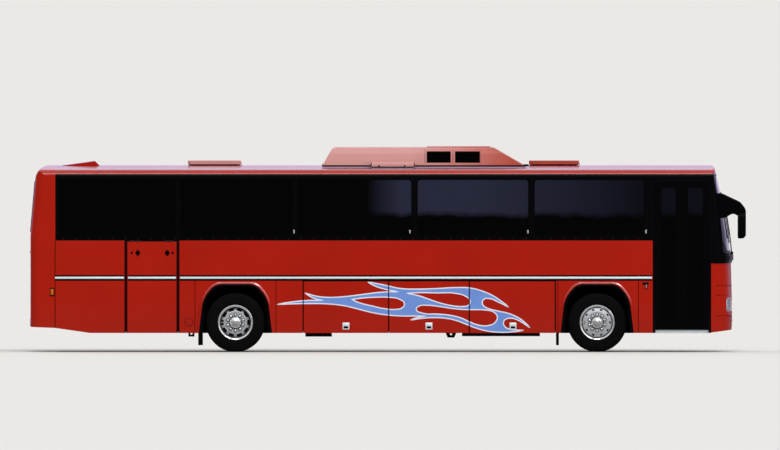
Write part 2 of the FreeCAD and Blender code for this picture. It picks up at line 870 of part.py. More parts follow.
def saloon_floor():
    """The raised floor from tail to dashboard, cut back round the steps and the service flaps."""
    x1 = along(nose_corner_place)
    slab = inner_form.common(box(along(rear_joint_place), x1, -far_y, far_y, floor_top - floor_thickness, floor_top))
    well_x = (along(door_rear_place) - step_thickness, along(door_front_place) + step_thickness)
    slab = slab.cut(box(*well_x, -far_y, -inner_half + sum(step_depths) - wall, -overrun, far_z))
    for side in (-1, 1):
        y = sorted((side * (inner_half - 2 * panel_gap), side * far_y))
        slab = slab.cut(box(along(service_edges[0]) - panel_gap, along(service_edges[1]) + panel_gap, *y, 0, far_z))
    return slab


def step_well():
    """Three treads rising from the doorway to the aisle, between two side plates."""
    x0 = along(door_rear_place) - step_thickness
    x1 = along(door_front_place) + step_thickness
    start = -inner_half + seat_gap
    points = [(start, skirt_height)]
    y = start
    for height, depth in zip(step_heights, step_depths):
        points.append((y, height))
        y += depth
        points.append((y, height))
    end = -inner_half + sum(step_depths) - wall
    points[-1] = (end, step_heights[-1])
    points += [(end, floor_top - floor_thickness), (end + step_thickness, floor_top - floor_thickness)]
    points += [(end + step_thickness, skirt_height)]
    corners = [Vector(x0, v, z) for v, z in points]
    return prism(Part.makePolygon(corners + corners[:1]), Vector(x1 - x0, 0, 0))


def luggage_bays():
    """The luggage floor between its bulkheads, under the saloon floor."""
    x0 = along(luggage_edges[0]) - bay_wall
    x1 = along(luggage_edges[-1]) + bay_wall
    y = inner_half - bay_inset
    top = floor_top - floor_thickness
    pieces = [box(x0, x1, -y, y, bay_floor_bottom, bay_floor_bottom + bay_floor_thickness)]
    for i, place in enumerate(luggage_edges):
        shift = bay_wall if i == 0 else 0 if i == len(luggage_edges) - 1 else bay_wall / 2
        low = along(place) - shift
        pieces.append(box(low, low + bay_wall, -y, y, bay_floor_bottom, top))
    for rear, front, depth in tray_places:
        pieces.append(box(along(rear), along(front), -tray_half, tray_half, bay_floor_bottom - depth, bay_floor_bottom))
    pieces += lashing_plates(front_lashing_places, front_lashing_foot, front_lashing_height, bay_floor_bottom)
    return fused(pieces)


def lashing_plates(places, foot, eye_height_up, head):
    """A pair of plates that hang from the rails' line, each with a lashing eye below the skirt."""
    x0, x1 = (along(place) for place in places)
    plates = []
    for y in (-rail_y - rail_width, rail_y):
        outline = [(x0, head), (x1, head), (x1 - lashing_taper, foot), (x0 + lashing_taper, foot)]
        points = [Vector(x, y, z) for x, z in outline]
        plate = prism(Part.makePolygon(points + points[:1]), Vector(0, rail_width, 0))
        eye = tube((x0 + x1) / 2, y - overrun, eye_height_up, Vector(0, 1, 0), lashing_radius, rail_width + 2 * overrun)
        plates.append(plate.cut(eye))
    return plates


def chassis_frame():
    """Two pairs of deep rails under the floor, ahead of and behind the luggage bays, with crossmembers."""
    spans = (
        (along(rail_start_place), along(luggage_edges[0]) - bay_wall),
        (along(luggage_edges[-1]) + bay_wall, along(rail_end_place)),
    )
    frames = []
    for x0, x1 in spans:
        pieces = []
        for side in (-1, 1):
            y = sorted((side * rail_y, side * (rail_y + rail_width)))
            pieces.append(box(x0, x1, *y, rail_bottom, rail_bottom + rail_height))
        for place in crossmember_places:
            x = along(place)
            if x0 < x < x1:
                z0, z1 = rail_bottom + rail_height / 2, rail_bottom + rail_height
                pieces.append(box(x, x + crossmember_width, -rail_y, rail_y, z0, z1))
                for y in (-rail_y - rail_width, rail_y):
                    pieces.append(box(x, x + crossmember_width, y, y + rail_width, z0, floor_top - floor_thickness))
        if not frames:
            pieces += lashing_plates(rear_lashing_places, rear_lashing_foot, rear_lashing_height, rail_bottom)
        frames.append(fused(pieces))
    return Part.makeCompound(frames)


def entry_leaf(x0, x1):
    """One glazed leaf of the entry door between two X. Returns the leaf and its pane."""
    y0, y1 = -half_width, -half_width + leaf_thickness
    leaf = box(x0, x1, y0, y1, door_foot, door_head - leaf_gap)
    sides = (x0 + leaf_glass_margin, x1 - leaf_glass_margin)
    opening = side_window(*sides, leaf_glass_sill, leaf_glass_head, leaf_glass_cut, y0 - wall, y1 + wall)
    pane = opening.common(box(x0, x1, y0 + glass_setback, y0 + glass_setback + glass_thickness, 0, far_z))
    return leaf.cut(opening), pane


def entry_door(frame):
    """The two leaves of the entry door. Each is glazed, and the front one hangs on the front jamb."""
    x0, x1 = along(door_rear_place), along(door_front_place)
    seam = (x0 + x1) / 2
    rear_leaf, rear_pane = entry_leaf(x0 + leaf_gap, seam - leaf_gap / 2)
    front_leaf, front_pane = entry_leaf(seam + leaf_gap / 2, x1 - leaf_gap)
    up = Vector(0, 0, 1)
    height = door_head - door_foot
    front_leaf, frame = hang(front_leaf, frame, Vector(x1 - leaf_gap / 2, leaf_jamb_y, door_foot), up, height)
    rear_leaf, front_leaf = hang(rear_leaf, front_leaf, Vector(seam, leaf_seam_y, door_foot), up, height)
    return rear_leaf, rear_pane, front_leaf, front_pane, frame


def roof_unit():
    """The air conditioning unit: a long low housing, steep behind and sloped in front, with louvred side openings."""
    low = shoulder_height
    side_points = [
        Vector(along(unit_base_places[0]), -far_y, low),
        Vector(along(unit_base_places[1]), -far_y, low),
        Vector(along(unit_top_places[1]), -far_y, unit_top),
        Vector(along(unit_top_places[0]), -far_y, unit_top),
    ]
    housing = prism(soft_loop(side_points, [0, 0, unit_cut, unit_cut]), Vector(0, 2 * far_y, 0))
    section = [
        Vector(far_x0, -unit_half, low),
        Vector(far_x0, unit_half, low),
        Vector(far_x0, unit_top_half, unit_top),
        Vector(far_x0, -unit_top_half, unit_top),
    ]
    cuts = [0, 0, unit_shoulder_cut, unit_shoulder_cut]
    housing = housing.common(prism(soft_loop(section, cuts), Vector(far_x1 - far_x0, 0, 0))).cut(skin_form)
    plate_x = [along(place) for place in unit_plate_places]
    plate = box(*plate_x, -unit_plate_half, unit_plate_half, unit_top, unit_top + unit_plate_thickness)
    cover_x = [along(place) for place in unit_cover_places]
    section = [
        Vector(cover_x[0], -unit_cover_half, low),
        Vector(cover_x[0], unit_cover_half, low),
        Vector(cover_x[0], unit_cover_half, unit_cover_top),
        Vector(cover_x[0], -unit_cover_half, unit_cover_top),
    ]
    covers = prism(soft_loop(section, [0, 0, unit_cover_cut, unit_cover_cut]), Vector(cover_x[1] - cover_x[0], 0, 0))
    housing = fused([housing, plate, covers.cut(skin_form)])
    slats = []
    for x0, x1 in vent_places:
        for side in (-1, 1):
            y = sorted((side * vent_back, side * far_y))
            housing = housing.cut(box(along(x0), along(x1), *y, vent_foot, vent_head))
            slats += vent_slats(along(x0) + seat_gap, along(x1) - seat_gap, side)
    return housing, Part.makeCompound(slats)


def vent_slats(x0, x1, side):
    """Tilted blades across one opening of the roof unit."""
    blades = []
    pitch = (vent_head - vent_foot) / slat_count
    for i in range(slat_count):
        z = vent_foot + pitch * (i + 1 / 2)
        y = side * (vent_back + slat_drop)
        reach = side * slat_width
        points = [Vector(x0, y, z), Vector(x0, y + reach, z - slat_drop)]
        points += [Vector(x0, y + reach, z - slat_drop + slat_thickness), Vector(x0, y, z + slat_thickness)]
        blades.append(prism(Part.makePolygon(points + points[:1]), Vector(x1 - x0, 0, 0)))
    return blades


def roof_scoop():
    """The low scoop on the roof's rear end, open to the front."""
    low = shoulder_height
    points = [
        Vector(along(scoop_places[0]), -scoop_half, low),
        Vector(along(scoop_places[1]), -scoop_half, low),
        Vector(along(scoop_peak_place), -scoop_half, scoop_top),
        Vector(along(scoop_places[0]), -scoop_half, roof_height),
    ]
    return prism(soft_loop(points, [0, 0, scoop_cut, 0]), Vector(0, 2 * scoop_half, 0)).cut(outer_form)


def plan_block(x0, x1, y_half, z0, z1, cut):
    """A block with rounded upright edges between two heights."""
    points = [Vector(x0, -y_half, z0), Vector(x1, -y_half, z0), Vector(x1, y_half, z0), Vector(x0, y_half, z0)]
    return prism(soft_loop(points, [cut] * len(points)), Vector(0, 0, z1 - z0))


def roof_and_hatches():
    """The roof with its scoop and two hatch openings in raised kerbs, and the two hinged lids."""
    roof = shell_part(along(rear_joint_place), along(front_joint_place), -far_y, far_y, cant_height, far_z)
    roof = roof.fuse(roof_scoop())
    lids = []
    for rear, front in hatch_places:
        x0, x1 = along(rear), along(front)
        kerb = plan_block(x0 + kerb_inset, x1 - kerb_inset, hatch_half - kerb_inset, shoulder_height, hatch_foot,
                          hatch_cut)
        inset = kerb_inset + kerb_wall
        hole = plan_block(x0 + inset, x1 - inset, hatch_half - inset, cant_height, far_z, hatch_hole_cut)
        roof = roof.fuse(kerb.cut(inner_form)).cut(hole)
        lid = plan_block(x0, x1, hatch_half, hatch_foot + seat_gap, hatch_head, hatch_cut)
        start = Vector(x1 + barrel_stand, -hatch_half, hatch_foot + barrel_radius + panel_gap)
        lids.append((lid, start))
    return roof, lids


def roof_sheets(roof):
    """The roof parted into its sheets, which meet in line with the ends of each hatch's opening."""
    inset = kerb_inset + kerb_wall
    for rear, front in hatch_places:
        for x in (along(rear) + inset - seat_gap, along(front) - inset):
            roof = roof.cut(box(x, x + seat_gap, -far_y, far_y, 0, far_z))
    return roof


def mirrors():
    """Two mirrors on arms that sweep forward and down from the top of the nose, like a pair of feelers."""
    elbow = [(mirror_under_places[0], mirror_under_heights[0]), (mirror_under_places[1], mirror_under_heights[1])]
    arm = list(zip(mirror_top_places, mirror_top_heights))
    arm += [(mirror_top_places[2], mirror_elbow_height), (mirror_face_place, mirror_elbow_height)] + elbow
    arm += [(mirror_root_place, mirror_under_heights[1]), (mirror_root_place, mirror_top_heights[0])]
    arm_cuts = [0, mirror_cut, mirror_cut, 0, 0, mirror_cut, 0, 0, 0]
    y0, y1 = mirror_arm_y
    points = [Vector(along(x), y0, z) for x, z in arm]
    whole = prism(soft_loop(points, arm_cuts), Vector(0, y1 - y0, 0))
    head = [
        (mirror_face_place, mirror_elbow_height + mirror_cut),
        (mirror_top_places[2], mirror_elbow_height + mirror_cut),
        (mirror_top_places[2], mirror_foot_heights[0]),
        (mirror_top_places[2] - mirror_cut, mirror_foot_heights[1]),
        (mirror_face_place, mirror_foot_heights[1]),
    ]
    y0, y1 = mirror_head_y
    points = [Vector(along(x), y0, z) for x, z in head]
    cuts = [mirror_cut / 2, mirror_cut, mirror_cut / 2, mirror_cut / 2, mirror_cut / 2]
    body = prism(soft_loop(points, cuts), Vector(0, y1 - y0, 0))
    z0, z1 = mirror_foot_heights[1], mirror_elbow_height + mirror_cut
    front = [Vector(far_x0, y0, z0), Vector(far_x0, y1, z0), Vector(far_x0, y1, z1), Vector(far_x0, y0, z1)]
    body = body.common(prism(soft_loop(front, [mirror_head_cut] * len(front)), Vector(2 * far_x1 - far_x0, 0, 0)))
    whole = whole.fuse(body).cut(skin_form).removeSplitter()
    outside = max(whole.Solids, key=lambda solid: solid.Volume)
    return Part.makeCompound([outside, mirrored(outside)])


def lamp_blocks(y_span, heights, x0, x1):
    """Blocks through the nose or tail for a pair of lamps."""
    y0, y1 = y_span
    z0, z1 = heights
    points = [Vector(x0, y0, z0), Vector(x0, y1, z0), Vector(x0, y1, z1), Vector(x0, y0, z1)]
    block = prism(soft_loop(points, [lamp_cut] * len(points)), Vector(x1 - x0, 0, 0))
    return [block, mirrored(block)]


def ledge():
    """The rounded black ledge that stands out under the windscreen."""
    height = ledge_head - ledge_foot
    nose = nose_places[form_heights.index(ledge_form_height)]
    edge = height * ledge_edge_share
    layers = ((ledge_stand / 2, ledge_foot, height), (ledge_stand, ledge_foot + edge, height - 2 * edge))
    made = [
        prism(plan_wire(low, nose, tail_places[0], -stand), Vector(0, 0, tall))
        for stand, low, tall in layers
    ]
    ahead = box(along(ledge_start_place), far_x1, -far_y, far_y, ledge_foot, ledge_head)
    return made[0].fuse(made[1]).common(ahead).cut(inner_form)


def dashboard():
    """The dashboard across the nose, with the steering column and wheel."""
    points = [Vector(along(x), -inner_half, z) for x, z in zip(dash_places, dash_heights)]
    points += [Vector(along(dash_places[-1]), -inner_half, dash_heights[0])]
    desk = prism(Part.makePolygon(points + points[:1]), Vector(0, 2 * inner_half, 0))
    desk = desk.common(dash_form)
    desk = desk.cut(box(far_x0, along(front_joint_place) + panel_gap, -far_y, 0, 0, far_z))
    x = along(wheel_place)
    lean = math.radians(wheel_tilt)
    axis = Vector(-math.sin(lean), 0, math.cos(lean))
    centre = Vector(x, wheel_y, wheel_height)
    ring_shape = Part.makeTorus(wheel_ring_radius, wheel_ring_tube, centre, axis)
    column = Part.makeCylinder(column_radius, column_length, centre - axis * column_length, axis)
    cross = Vector(math.cos(lean), 0, math.sin(lean))
    spokes = [
        Part.makeCylinder(wheel_ring_tube, 2 * wheel_ring_radius, centre - way * wheel_ring_radius, way)
        for way in (cross, Vector(0, 1, 0))
    ]
    return fused([desk, column, ring_shape] + spokes)


def seat(place, y0, y1):
    """One seat or pair of seats between two Y, facing forward: legs, cushion and leaning back in one."""
    x = along(place)
    z = floor_top
    front = x + seat_depth
    outline = [
        (x + seat_leg_inset, z, 0),
        (front - seat_leg_inset, z, 0),
        (front - seat_leg_inset, z + seat_height - seat_pad, 0),
        (front, z + seat_height - seat_pad, seat_cut),
        (front, z + seat_height, seat_cut),
        (x + seat_back_thickness, z + seat_height, seat_cut / 2),
        (x + seat_back_thickness - seat_back_lean, z + seat_back_height, seat_cut),
        (x - seat_back_lean, z + seat_back_height, seat_cut),
        (x, z + seat_height - seat_pad, seat_cut / 2),
        (x + seat_leg_inset, z + seat_height - seat_pad, 0),
    ]
    points = [Vector(px, y0, pz) for px, pz, _ in outline]
    return prism(soft_loop(points, [cut for _, _, cut in outline]), Vector(0, y1 - y0, 0))


def seats():
    """Rows of double seats on both sides of the aisle, and the driver's seat."""
    made = []
    for row in range(seat_rows):
        place = seat_first_place + row * seat_pitch
        made.append(seat(place, aisle_half, aisle_half + seat_width))
        if place + seat_depth < door_rear_place - seat_pitch / 2:
            made.append(seat(place, -aisle_half - seat_width, -aisle_half))
    made.append(seat(driver_place, wheel_y - driver_width / 2, wheel_y + driver_width / 2))
    return Part.makeCompound(made)


def luggage_racks():
    """Overhead racks along both walls, tipped up towards the aisle."""
    x0 = along(rack_places[0])
    outline = [
        (inner_half, rack_wall_heights[0]),
        (inner_half, rack_wall_heights[1]),
        (rack_lip_y, rack_lip_heights[1]),
        (rack_lip_y, rack_lip_heights[0]),
    ]
    points = [Vector(x0, y, z) for y, z in outline]
    rack = prism(Part.makePolygon(points + points[:1]), Vector(rack_places[1] - rack_places[0], 0, 0))
    return Part.makeCompound([rack, mirrored(rack)])


def engine():
    """The engine block at the tail with its side mounts, and the gearbox ahead of it."""
    x0, x1 = (along(place) for place in engine_places)
    block = box(x0, x1, -engine_half, engine_half, engine_bottom, engine_top)
    mounts = [
        box(x, x + mount_thickness, -rail_y, rail_y, rail_bottom, rail_bottom + mount_thickness)
        for x in (x0 + mount_thickness, x1 - 2 * mount_thickness)
    ]
    gearbox = tube(x1, 0, gearbox_height, Vector(1, 0, 0), gearbox_radius, gearbox_length)
    return fused([block, gearbox] + mounts)


def propshaft():
    """The shaft that slopes from the gearbox down to the rear axle, with a yoke at each end."""
    start = Vector(along(engine_places[1]) + gearbox_length, 0, gearbox_height)
    end = Vector(along(rear_axle_place) - banjo_radius * pinion_reach_share, 0, tyre_radius)
    forward = Vector(1, 0, 0)
    first = start + forward * (yoke_length / 2)
    last = end - forward * (yoke_length / 2)
    run = last - first
    pieces = [
        Part.makeCylinder(yoke_radius, yoke_length, start, forward),
        Part.makeCylinder(yoke_radius, yoke_length, end - forward * yoke_length, forward),
        Part.makeCylinder(shaft_radius, run.Length, first, run),
    ]
    return fused(pieces)


def fuel_tank():
    """The tank across the coach ahead of the rear axle, hung under the rails."""
    x0, x1 = (along(place) for place in tank_places)
    z0, z1 = tank_bottom, rail_bottom - seat_gap
    points = [Vector(x0, -tank_half, z0), Vector(x1, -tank_half, z0)]
    points += [Vector(x1, -tank_half, z1), Vector(x0, -tank_half, z1)]
    return prism(soft_loop(points, [tank_cut] * len(points)), Vector(0, 2 * tank_half, 0))


def bellows(x, y, z0, z1):
    """One air spring: a rubber bellows of two lobes."""
    step = (z1 - z0) / 4
    radii = (spring_waist, spring_radius, spring_waist, spring_radius, spring_waist)
    outline = [Vector(x, y, z0)]
    outline += [Vector(x + r, y, z0 + i * step) for i, r in enumerate(radii)]
    outline += [Vector(x, y, z1)]
    cuts = [0, 0, step / 2, step / 2, step / 2, 0, 0]
    return Part.Face(soft_loop(outline, cuts)).revolve(Vector(x, y, 0), Vector(0, 0, 1), 360)


def air_springs():
    """Six air springs between the axles and the rails: four at the rear and two at the front."""
    y = rail_y + rail_width / 2
    beam_top = tyre_radius - beam_drop + beam_height / 2
    arm_top = tyre_radius + spring_arm_height / 2
    made = []
    for side in (-1, 1):
        made.append(bellows(along(front_axle_place), side * y, beam_top + seat_gap, rail_bottom - seat_gap))
        for shift in (-spring_offset, spring_offset):
            x = along(rear_axle_place) + shift
            made.append(bellows(x, side * y, arm_top + seat_gap, rail_bottom - seat_gap))
    return Part.makeCompound(made)


def liner_wall(place, margin):
    """The inner wall of a wheel housing, notched over the axle."""
    x = along(place)
    panel = arch_block(place, margin, -liner_inner_y - liner_thickness, -liner_inner_y, skirt_height + wall)
    return panel.cut(box(x - liner_notch_half, x + liner_notch_half, -far_y, 0, 0, liner_notch_head))


def wheel_housings():
    """Liners over the four wheels, closed inwards, and a flap behind each."""
    made = []
    spans = ((rear_axle_place, rear_liner_margin), (front_axle_place, front_liner_margin))
    for place, margin in spans:
        outer = arch_block(place, margin + liner_thickness, -inner_half, -liner_inner_y, skirt_height + wall)
        inner = arch_block(place, margin, -far_y, -liner_inner_y + wall, -overrun)
        flap_x = along(place) - arch_half - margin - liner_thickness - flap_thickness
        flap_front = flap_x + flap_thickness + liner_thickness
        flap = box(flap_x, flap_front, -inner_half, -liner_inner_y, flap_foot, flap_head).cut(inner)
        inner_wall = liner_wall(place, margin)
        housing = fused([outer.cut(inner), flap, inner_wall])
        made += [housing, mirrored(housing)]
    return Part.makeCompound(made)


# Build and save
def save(name, shape):
    """Write one piece to its file."""
    shape.exportStep("parts/" + name + ".step")
    print(name, len(shape.Solids), round(shape.Volume / 1e6, 1), shape.isValid())


def save_body():
    """The body's panels, glass, doors and flaps."""
    glass = glass_layer()
    panes = []
    for side, name in ((-1, "right"), (1, "left")):
        panel, flaps, service = side_wall(side)
        if side < 0:
            rear_leaf, rear_pane, front_leaf, front_pane, panel = entry_door(panel)
            save("entry_door_rear_leaf", rear_leaf)
            save("entry_door_rear_glass", rear_pane)
            save("entry_door_front_leaf", front_leaf)
            save("entry_door_front_glass", front_pane)
        for lip in arch_lips(side):
            panel = panel.fuse(lip)
        save(name + "_side_wall", panel)
        for number, flap in zip(("rear", "middle", "front"), flaps):
            save("luggage_door_" + name + "_" + number, flap)
        save("service_door_" + name, service)
        panes += [glass.common(block) for block in side_panes(side)]
    save("side_windows", Part.makeCompound(panes))
    save_ends(glass)


def save_ends(glass):
    """The nose and tail with their glass and lamps."""
    tail, lid, rear_block = rear_mask()
    nose, front_block = front_mask()
    lamp_layer = hull(seat_gap).cut(hull(lamp_depth))
    tail_blocks = lamp_blocks(tail_lamp_y, tail_lamp_heights, far_x0, along(rear_joint_place))
    head_blocks = lamp_blocks(head_lamp_y, head_lamp_heights, along(front_joint_place), far_x1)
    for block in tail_blocks:
        tail = tail.cut(block)
    for block in head_blocks:
        nose = nose.cut(block)
    save("rear_mask", tail)
    save("engine_lid", lid)
    save("front_mask", nose.fuse(ledge()))
    save("end_windows", Part.makeCompound([glass.common(rear_block), glass.common(front_block)]))
    save("tail_lamps", Part.makeCompound([lamp_layer.common(block) for block in tail_blocks]))
    save("head_lamps", Part.makeCompound([lamp_layer.common(block) for block in head_blocks]))


def save_roof():
    """The roof with its unit, louvres and hatch lids."""
    roof, lids = roof_and_hatches()
    for name, (lid, start) in zip(("rear", "front"), lids):
        lid, roof = hang_hatch(lid, roof, start)
        save("roof_hatch_" + name, lid)
    save("roof", roof_sheets(roof))
    housing, slats = roof_unit()
    save("roof_unit", housing)
    save("roof_unit_louvres", slats)


def save_wheels():
    """Axles, knuckles, rims and tyres."""
    save("front_axle", front_axle())
    axle, tube_half = rear_axle()
    save("rear_axle", axle)
    for side, name in ((-1, "right"), (1, "left")):
        fork, plate_y = knuckle(side)
        save("knuckle_" + name, fork)
        x, y = along(front_axle_place), side * front_wheel_y
        hub_y = plate_y + side * panel_gap
        save("front_rim_" + name, wheel_rim(x, y, side, hub_y, front_disc_depth, front_hand_hole))
        save("front_tyre_" + name, tyre(x, y))
        x, y = along(rear_axle_place), side * rear_outer_y
        inner_y = y - side * twin_spacing
        twin = [rim_barrel(x, inner_y), twin_disc(x, inner_y, side)]
        hub_y = side * (tube_half + panel_gap)
        save("rear_rims_" + name, wheel_rim(x, y, side, hub_y, rear_disc_depth, rear_hand_hole, twin))
        save("rear_tyres_" + name, Part.makeCompound([tyre(x, y), tyre(x, inner_y)]))


save_body()
save_roof()
save_wheels()
save("mirrors", mirrors())
save("saloon_floor", saloon_floor())
save("step_well", step_well())
save("luggage_bays", luggage_bays())
save("chassis_frame", chassis_frame())
save("dashboard", dashboard())
save("seats", seats())
save("luggage_racks", luggage_racks())
save("engine", engine())
save("propshaft", propshaft())
save("fuel_tank", fuel_tank())
save("air_springs", air_springs())
save("wheel_housings", wheel_housings())
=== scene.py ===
"""Dresses a touring coach: paint, glass, trim, tyres, lamps, seats and a plain studio round it.

Lengths are in metres in the CAD's own frame: X forward, Y to the coach's left, Z up from the ground.
"""

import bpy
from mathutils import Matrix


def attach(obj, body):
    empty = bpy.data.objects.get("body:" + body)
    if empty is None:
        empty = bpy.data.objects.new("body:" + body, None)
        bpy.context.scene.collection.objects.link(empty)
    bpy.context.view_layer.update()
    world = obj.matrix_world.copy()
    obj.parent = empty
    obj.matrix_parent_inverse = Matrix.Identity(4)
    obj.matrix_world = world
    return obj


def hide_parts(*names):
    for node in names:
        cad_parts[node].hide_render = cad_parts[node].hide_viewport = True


bl_info = {
    "name": "Touring coach finish",
    "version": (1, 0, 0),
    "blender": (4, 5, 0),
    "location": "3D View > Sidebar > Coach",
    "description": "Adds the finish, the small fittings and a studio to a touring coach",
    "category": "Object",
}

import math

import bpy
from bpy.props import FloatProperty, FloatVectorProperty, PointerProperty
from bpy.types import Operator, Panel, PropertyGroup
from mathutils import Matrix, Vector

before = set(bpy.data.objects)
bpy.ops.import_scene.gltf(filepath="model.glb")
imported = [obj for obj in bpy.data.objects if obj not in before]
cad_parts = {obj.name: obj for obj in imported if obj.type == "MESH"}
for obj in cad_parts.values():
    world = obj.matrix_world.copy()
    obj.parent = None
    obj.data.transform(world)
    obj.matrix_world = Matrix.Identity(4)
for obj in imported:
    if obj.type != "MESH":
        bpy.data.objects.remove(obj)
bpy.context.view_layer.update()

TAIL = -6.112  # the X of the tail, from which places along the coach are measured
SIDE = 1.275  # the side panels' Y
FAR = 9  # past the coach on every side
PANEL_FOOT = 0.329  # where the joints between the side panels start
BAND_FOOT, BAND_HEAD = 1.907, 3.05  # the black band that the windows stand in
PANE_FOOT, PANE_HEAD = 1.986, 2.960
REAR_AXLE, FRONT_AXLE, HUB = TAIL + 3.505, TAIL + 9.690, 0.505
DOOR_EDGES = (4.663, 6.125, 7.505, 8.976)
DOOR_NAMES = ("rear", "middle", "front")
DOOR_SPANS = tuple(zip(DOOR_EDGES[:-1], DOOR_EDGES[1:], DOOR_NAMES))
SIDES = ((-1, "right"), (1, "left"))
PANES = ((0.470, 2.4835), (2.5605, 4.4845), (4.5615, 6.5275), (6.6045, 8.5285), (8.6055, 10.5035))
MATERIALS = {}


def linear(code):
    """An sRGB hex colour as the linear numbers that a shader takes."""
    parts = [int(code[i : i + 2], 16) / 255 for i in (1, 3, 5)]
    return tuple(c / 12.92 if c <= 0.04045 else ((c + 0.055) / 1.055) ** 2.4 for c in parts) + (1.0,)


# User's values


class CoachColours(PropertyGroup):
    """Colours of the paint and the pattern."""

    body: FloatVectorProperty(name="Body", description="Body enamel", subtype="COLOR", size=4,
                              min=0, max=1, default=linear("#AA1804"))
    unit: FloatVectorProperty(name="Roof unit", description="Glass-fibre roof unit and hatches",
                              subtype="COLOR", size=4, min=0, max=1, default=linear("#BC4A38"))
    flame: FloatVectorProperty(name="Flame", description="Painted licks on the skirt", subtype="COLOR",
                               size=4, min=0, max=1, default=linear("#6F94DC"))
    stripe: FloatVectorProperty(name="Pinstripe", description="Line round the licks", subtype="COLOR",
                                size=4, min=0, max=1, default=linear("#E6EAF6"))
    cloth: FloatVectorProperty(name="Seat cloth", description="Ground of the seats' cloth",
                               subtype="COLOR", size=4, min=0, max=1, default=linear("#27304E"))


class CoachSizes(PropertyGroup):
    """Sizes of the fittings."""

    rivet_pitch: FloatProperty(name="Rivet pitch", description="Between rivets of the sill rail",
                               default=0.2138, unit="LENGTH")
    rivet_radius: FloatProperty(name="Rivet radius", description="Of a domed rivet", default=0.0075,
                                unit="LENGTH")
    trim_stand: FloatProperty(name="Trim stand", description="How far the waist trim stands out",
                              default=0.009, unit="LENGTH")
    gasket_width: FloatProperty(name="Gasket width", description="Rubber shown round a pane",
                                default=0.016, unit="LENGTH")
    stripe_width: FloatProperty(name="Pinstripe width", description="Of the line round the licks",
                                default=0.023, unit="LENGTH")
    groove_depth: FloatProperty(name="Tread depth", description="Of the tyres' grooves", default=0.014,
                                unit="LENGTH")
    seat_crown: FloatProperty(name="Cushion crown", description="How far a cushion's middle swells",
                              default=0.018, unit="LENGTH")


# Modelling


def clear():
    """Leave edit mode with nothing selected."""
    if bpy.context.mode != "OBJECT":
        bpy.ops.object.mode_set(mode="OBJECT")
    bpy.ops.object.select_all(action="DESELECT")


def hold(piece):
    """Select one piece alone."""
    clear()
    piece.select_set(True)
    bpy.context.view_layer.objects.active = piece
    return piece


def edited(piece):
    """Open a piece alone in edit mode with all of it selected."""
    hold(piece)
    bpy.ops.object.mode_set(mode="EDIT")
    bpy.ops.mesh.select_all(action="SELECT")
    return piece


def settled(piece):
    """Bring a piece's place, turn and size into its mesh."""
    hold(piece)
    bpy.ops.object.transform_apply(location=True, rotation=True, scale=True)
    return piece


def modified(piece, kind, **settings):
    """Add a modifier and apply it."""
    hold(piece)
    bpy.ops.object.modifier_add(type=kind)
    added = piece.modifiers[-1]
    for name, value in settings.items():
        setattr(added, name, value)
    bpy.ops.object.modifier_apply(modifier=added.name)
    return piece


def rounded(piece, width, segments=2, angle=30):
    """Round a piece's sharp edges."""
    return modified(piece, "BEVEL", width=width, segments=segments, limit_method="ANGLE",
                    angle_limit=math.radians(angle))


def block(low, high, edge=0.003, segments=2):
    """A box between two corners with rounded edges."""
    clear()
    low, high = Vector(low), Vector(high)
    bpy.ops.mesh.primitive_cube_add(size=1, location=(low + high) / 2, scale=high - low)
    return rounded(settled(bpy.context.active_object), edge, segments)


def outline(points, fill="NGON"):
    """A flat polygon whose corners are put at the given points."""
    clear()
    bpy.ops.mesh.primitive_circle_add(vertices=len(points), radius=1, fill_type=fill)
    piece = bpy.context.active_object
    for vertex, point in zip(piece.data.vertices, points):
        vertex.co = point
    return piece


def plate(points, way, edge):
    """A flat outline drawn out along a vector, with its edges rounded."""
    piece = edited(outline(points))
    bpy.ops.mesh.extrude_region_move(TRANSFORM_OT_translate={"value": way})
    bpy.ops.mesh.select_all(action="SELECT")
    bpy.ops.mesh.normals_make_consistent(inside=False)
    clear()
    return rounded(piece, edge)


def turned(profile, centre, axis=(0, 1, 0), steps=48):
    """A profile of (radius, along the axis) points spun round an axis through a centre."""
    axis, centre = Vector(axis).normalized(), Vector(centre)
    out = axis.orthogonal().normalized()
    closed = all(radius > 1e-6 for radius, _ in profile)
    piece = edited(outline([centre + out * r + axis * a for r, a in profile], "NOTHING"))
    if not closed:
        # An open profile: the edge that joins its two ends goes
        bpy.ops.mesh.select_all(action="DESELECT")
        clear()
        for edge in piece.data.edges:
            edge.select = set(edge.vertices) == {0, len(profile) - 1}
        hold(piece)
        bpy.ops.object.mode_set(mode="EDIT")
        bpy.ops.mesh.select_mode(type="EDGE")
        bpy.ops.mesh.delete(type="EDGE_FACE")
        bpy.ops.mesh.select_mode(type="VERT")
    bpy.ops.mesh.select_all(action="SELECT")
    bpy.ops.mesh.spin(steps=steps, angle=2 * math.pi, center=centre, axis=axis)
    bpy.ops.mesh.select_all(action="SELECT")
    bpy.ops.mesh.remove_doubles(threshold=1e-5)
    bpy.ops.mesh.normals_make_consistent(inside=False)
    clear()
    return piece


def copied(piece, matrix):
    """A copy of a piece with its own mesh, moved by a matrix."""
    other = piece.copy()
    other.data = piece.data.copy()
    other.data.transform(matrix)
    if matrix.determinant() < 0:
        other.data.flip_normals()
    bpy.context.collection.objects.link(other)
    return other


def moved(piece, x=0.0, y=0.0, z=0.0):
    """A copy of a piece at another place."""
    return copied(piece, Matrix.Translation((x, y, z)))


def mirrored(piece):
    """A copy of a piece on the coach's other side."""
    return copied(piece, Matrix.Diagonal((1, -1, 1, 1)))


def joined(pieces):
    """Many pieces as one."""
    clear()
    for piece in pieces:
        piece.select_set(True)
    bpy.context.view_layer.objects.active = pieces[0]
    if len(pieces) > 1:
        bpy.ops.object.join()
    return pieces[0]


def discard(*pieces):
    """Delete drafts that were only there to be copied."""
    for piece in pieces:
        bpy.data.objects.remove(piece)


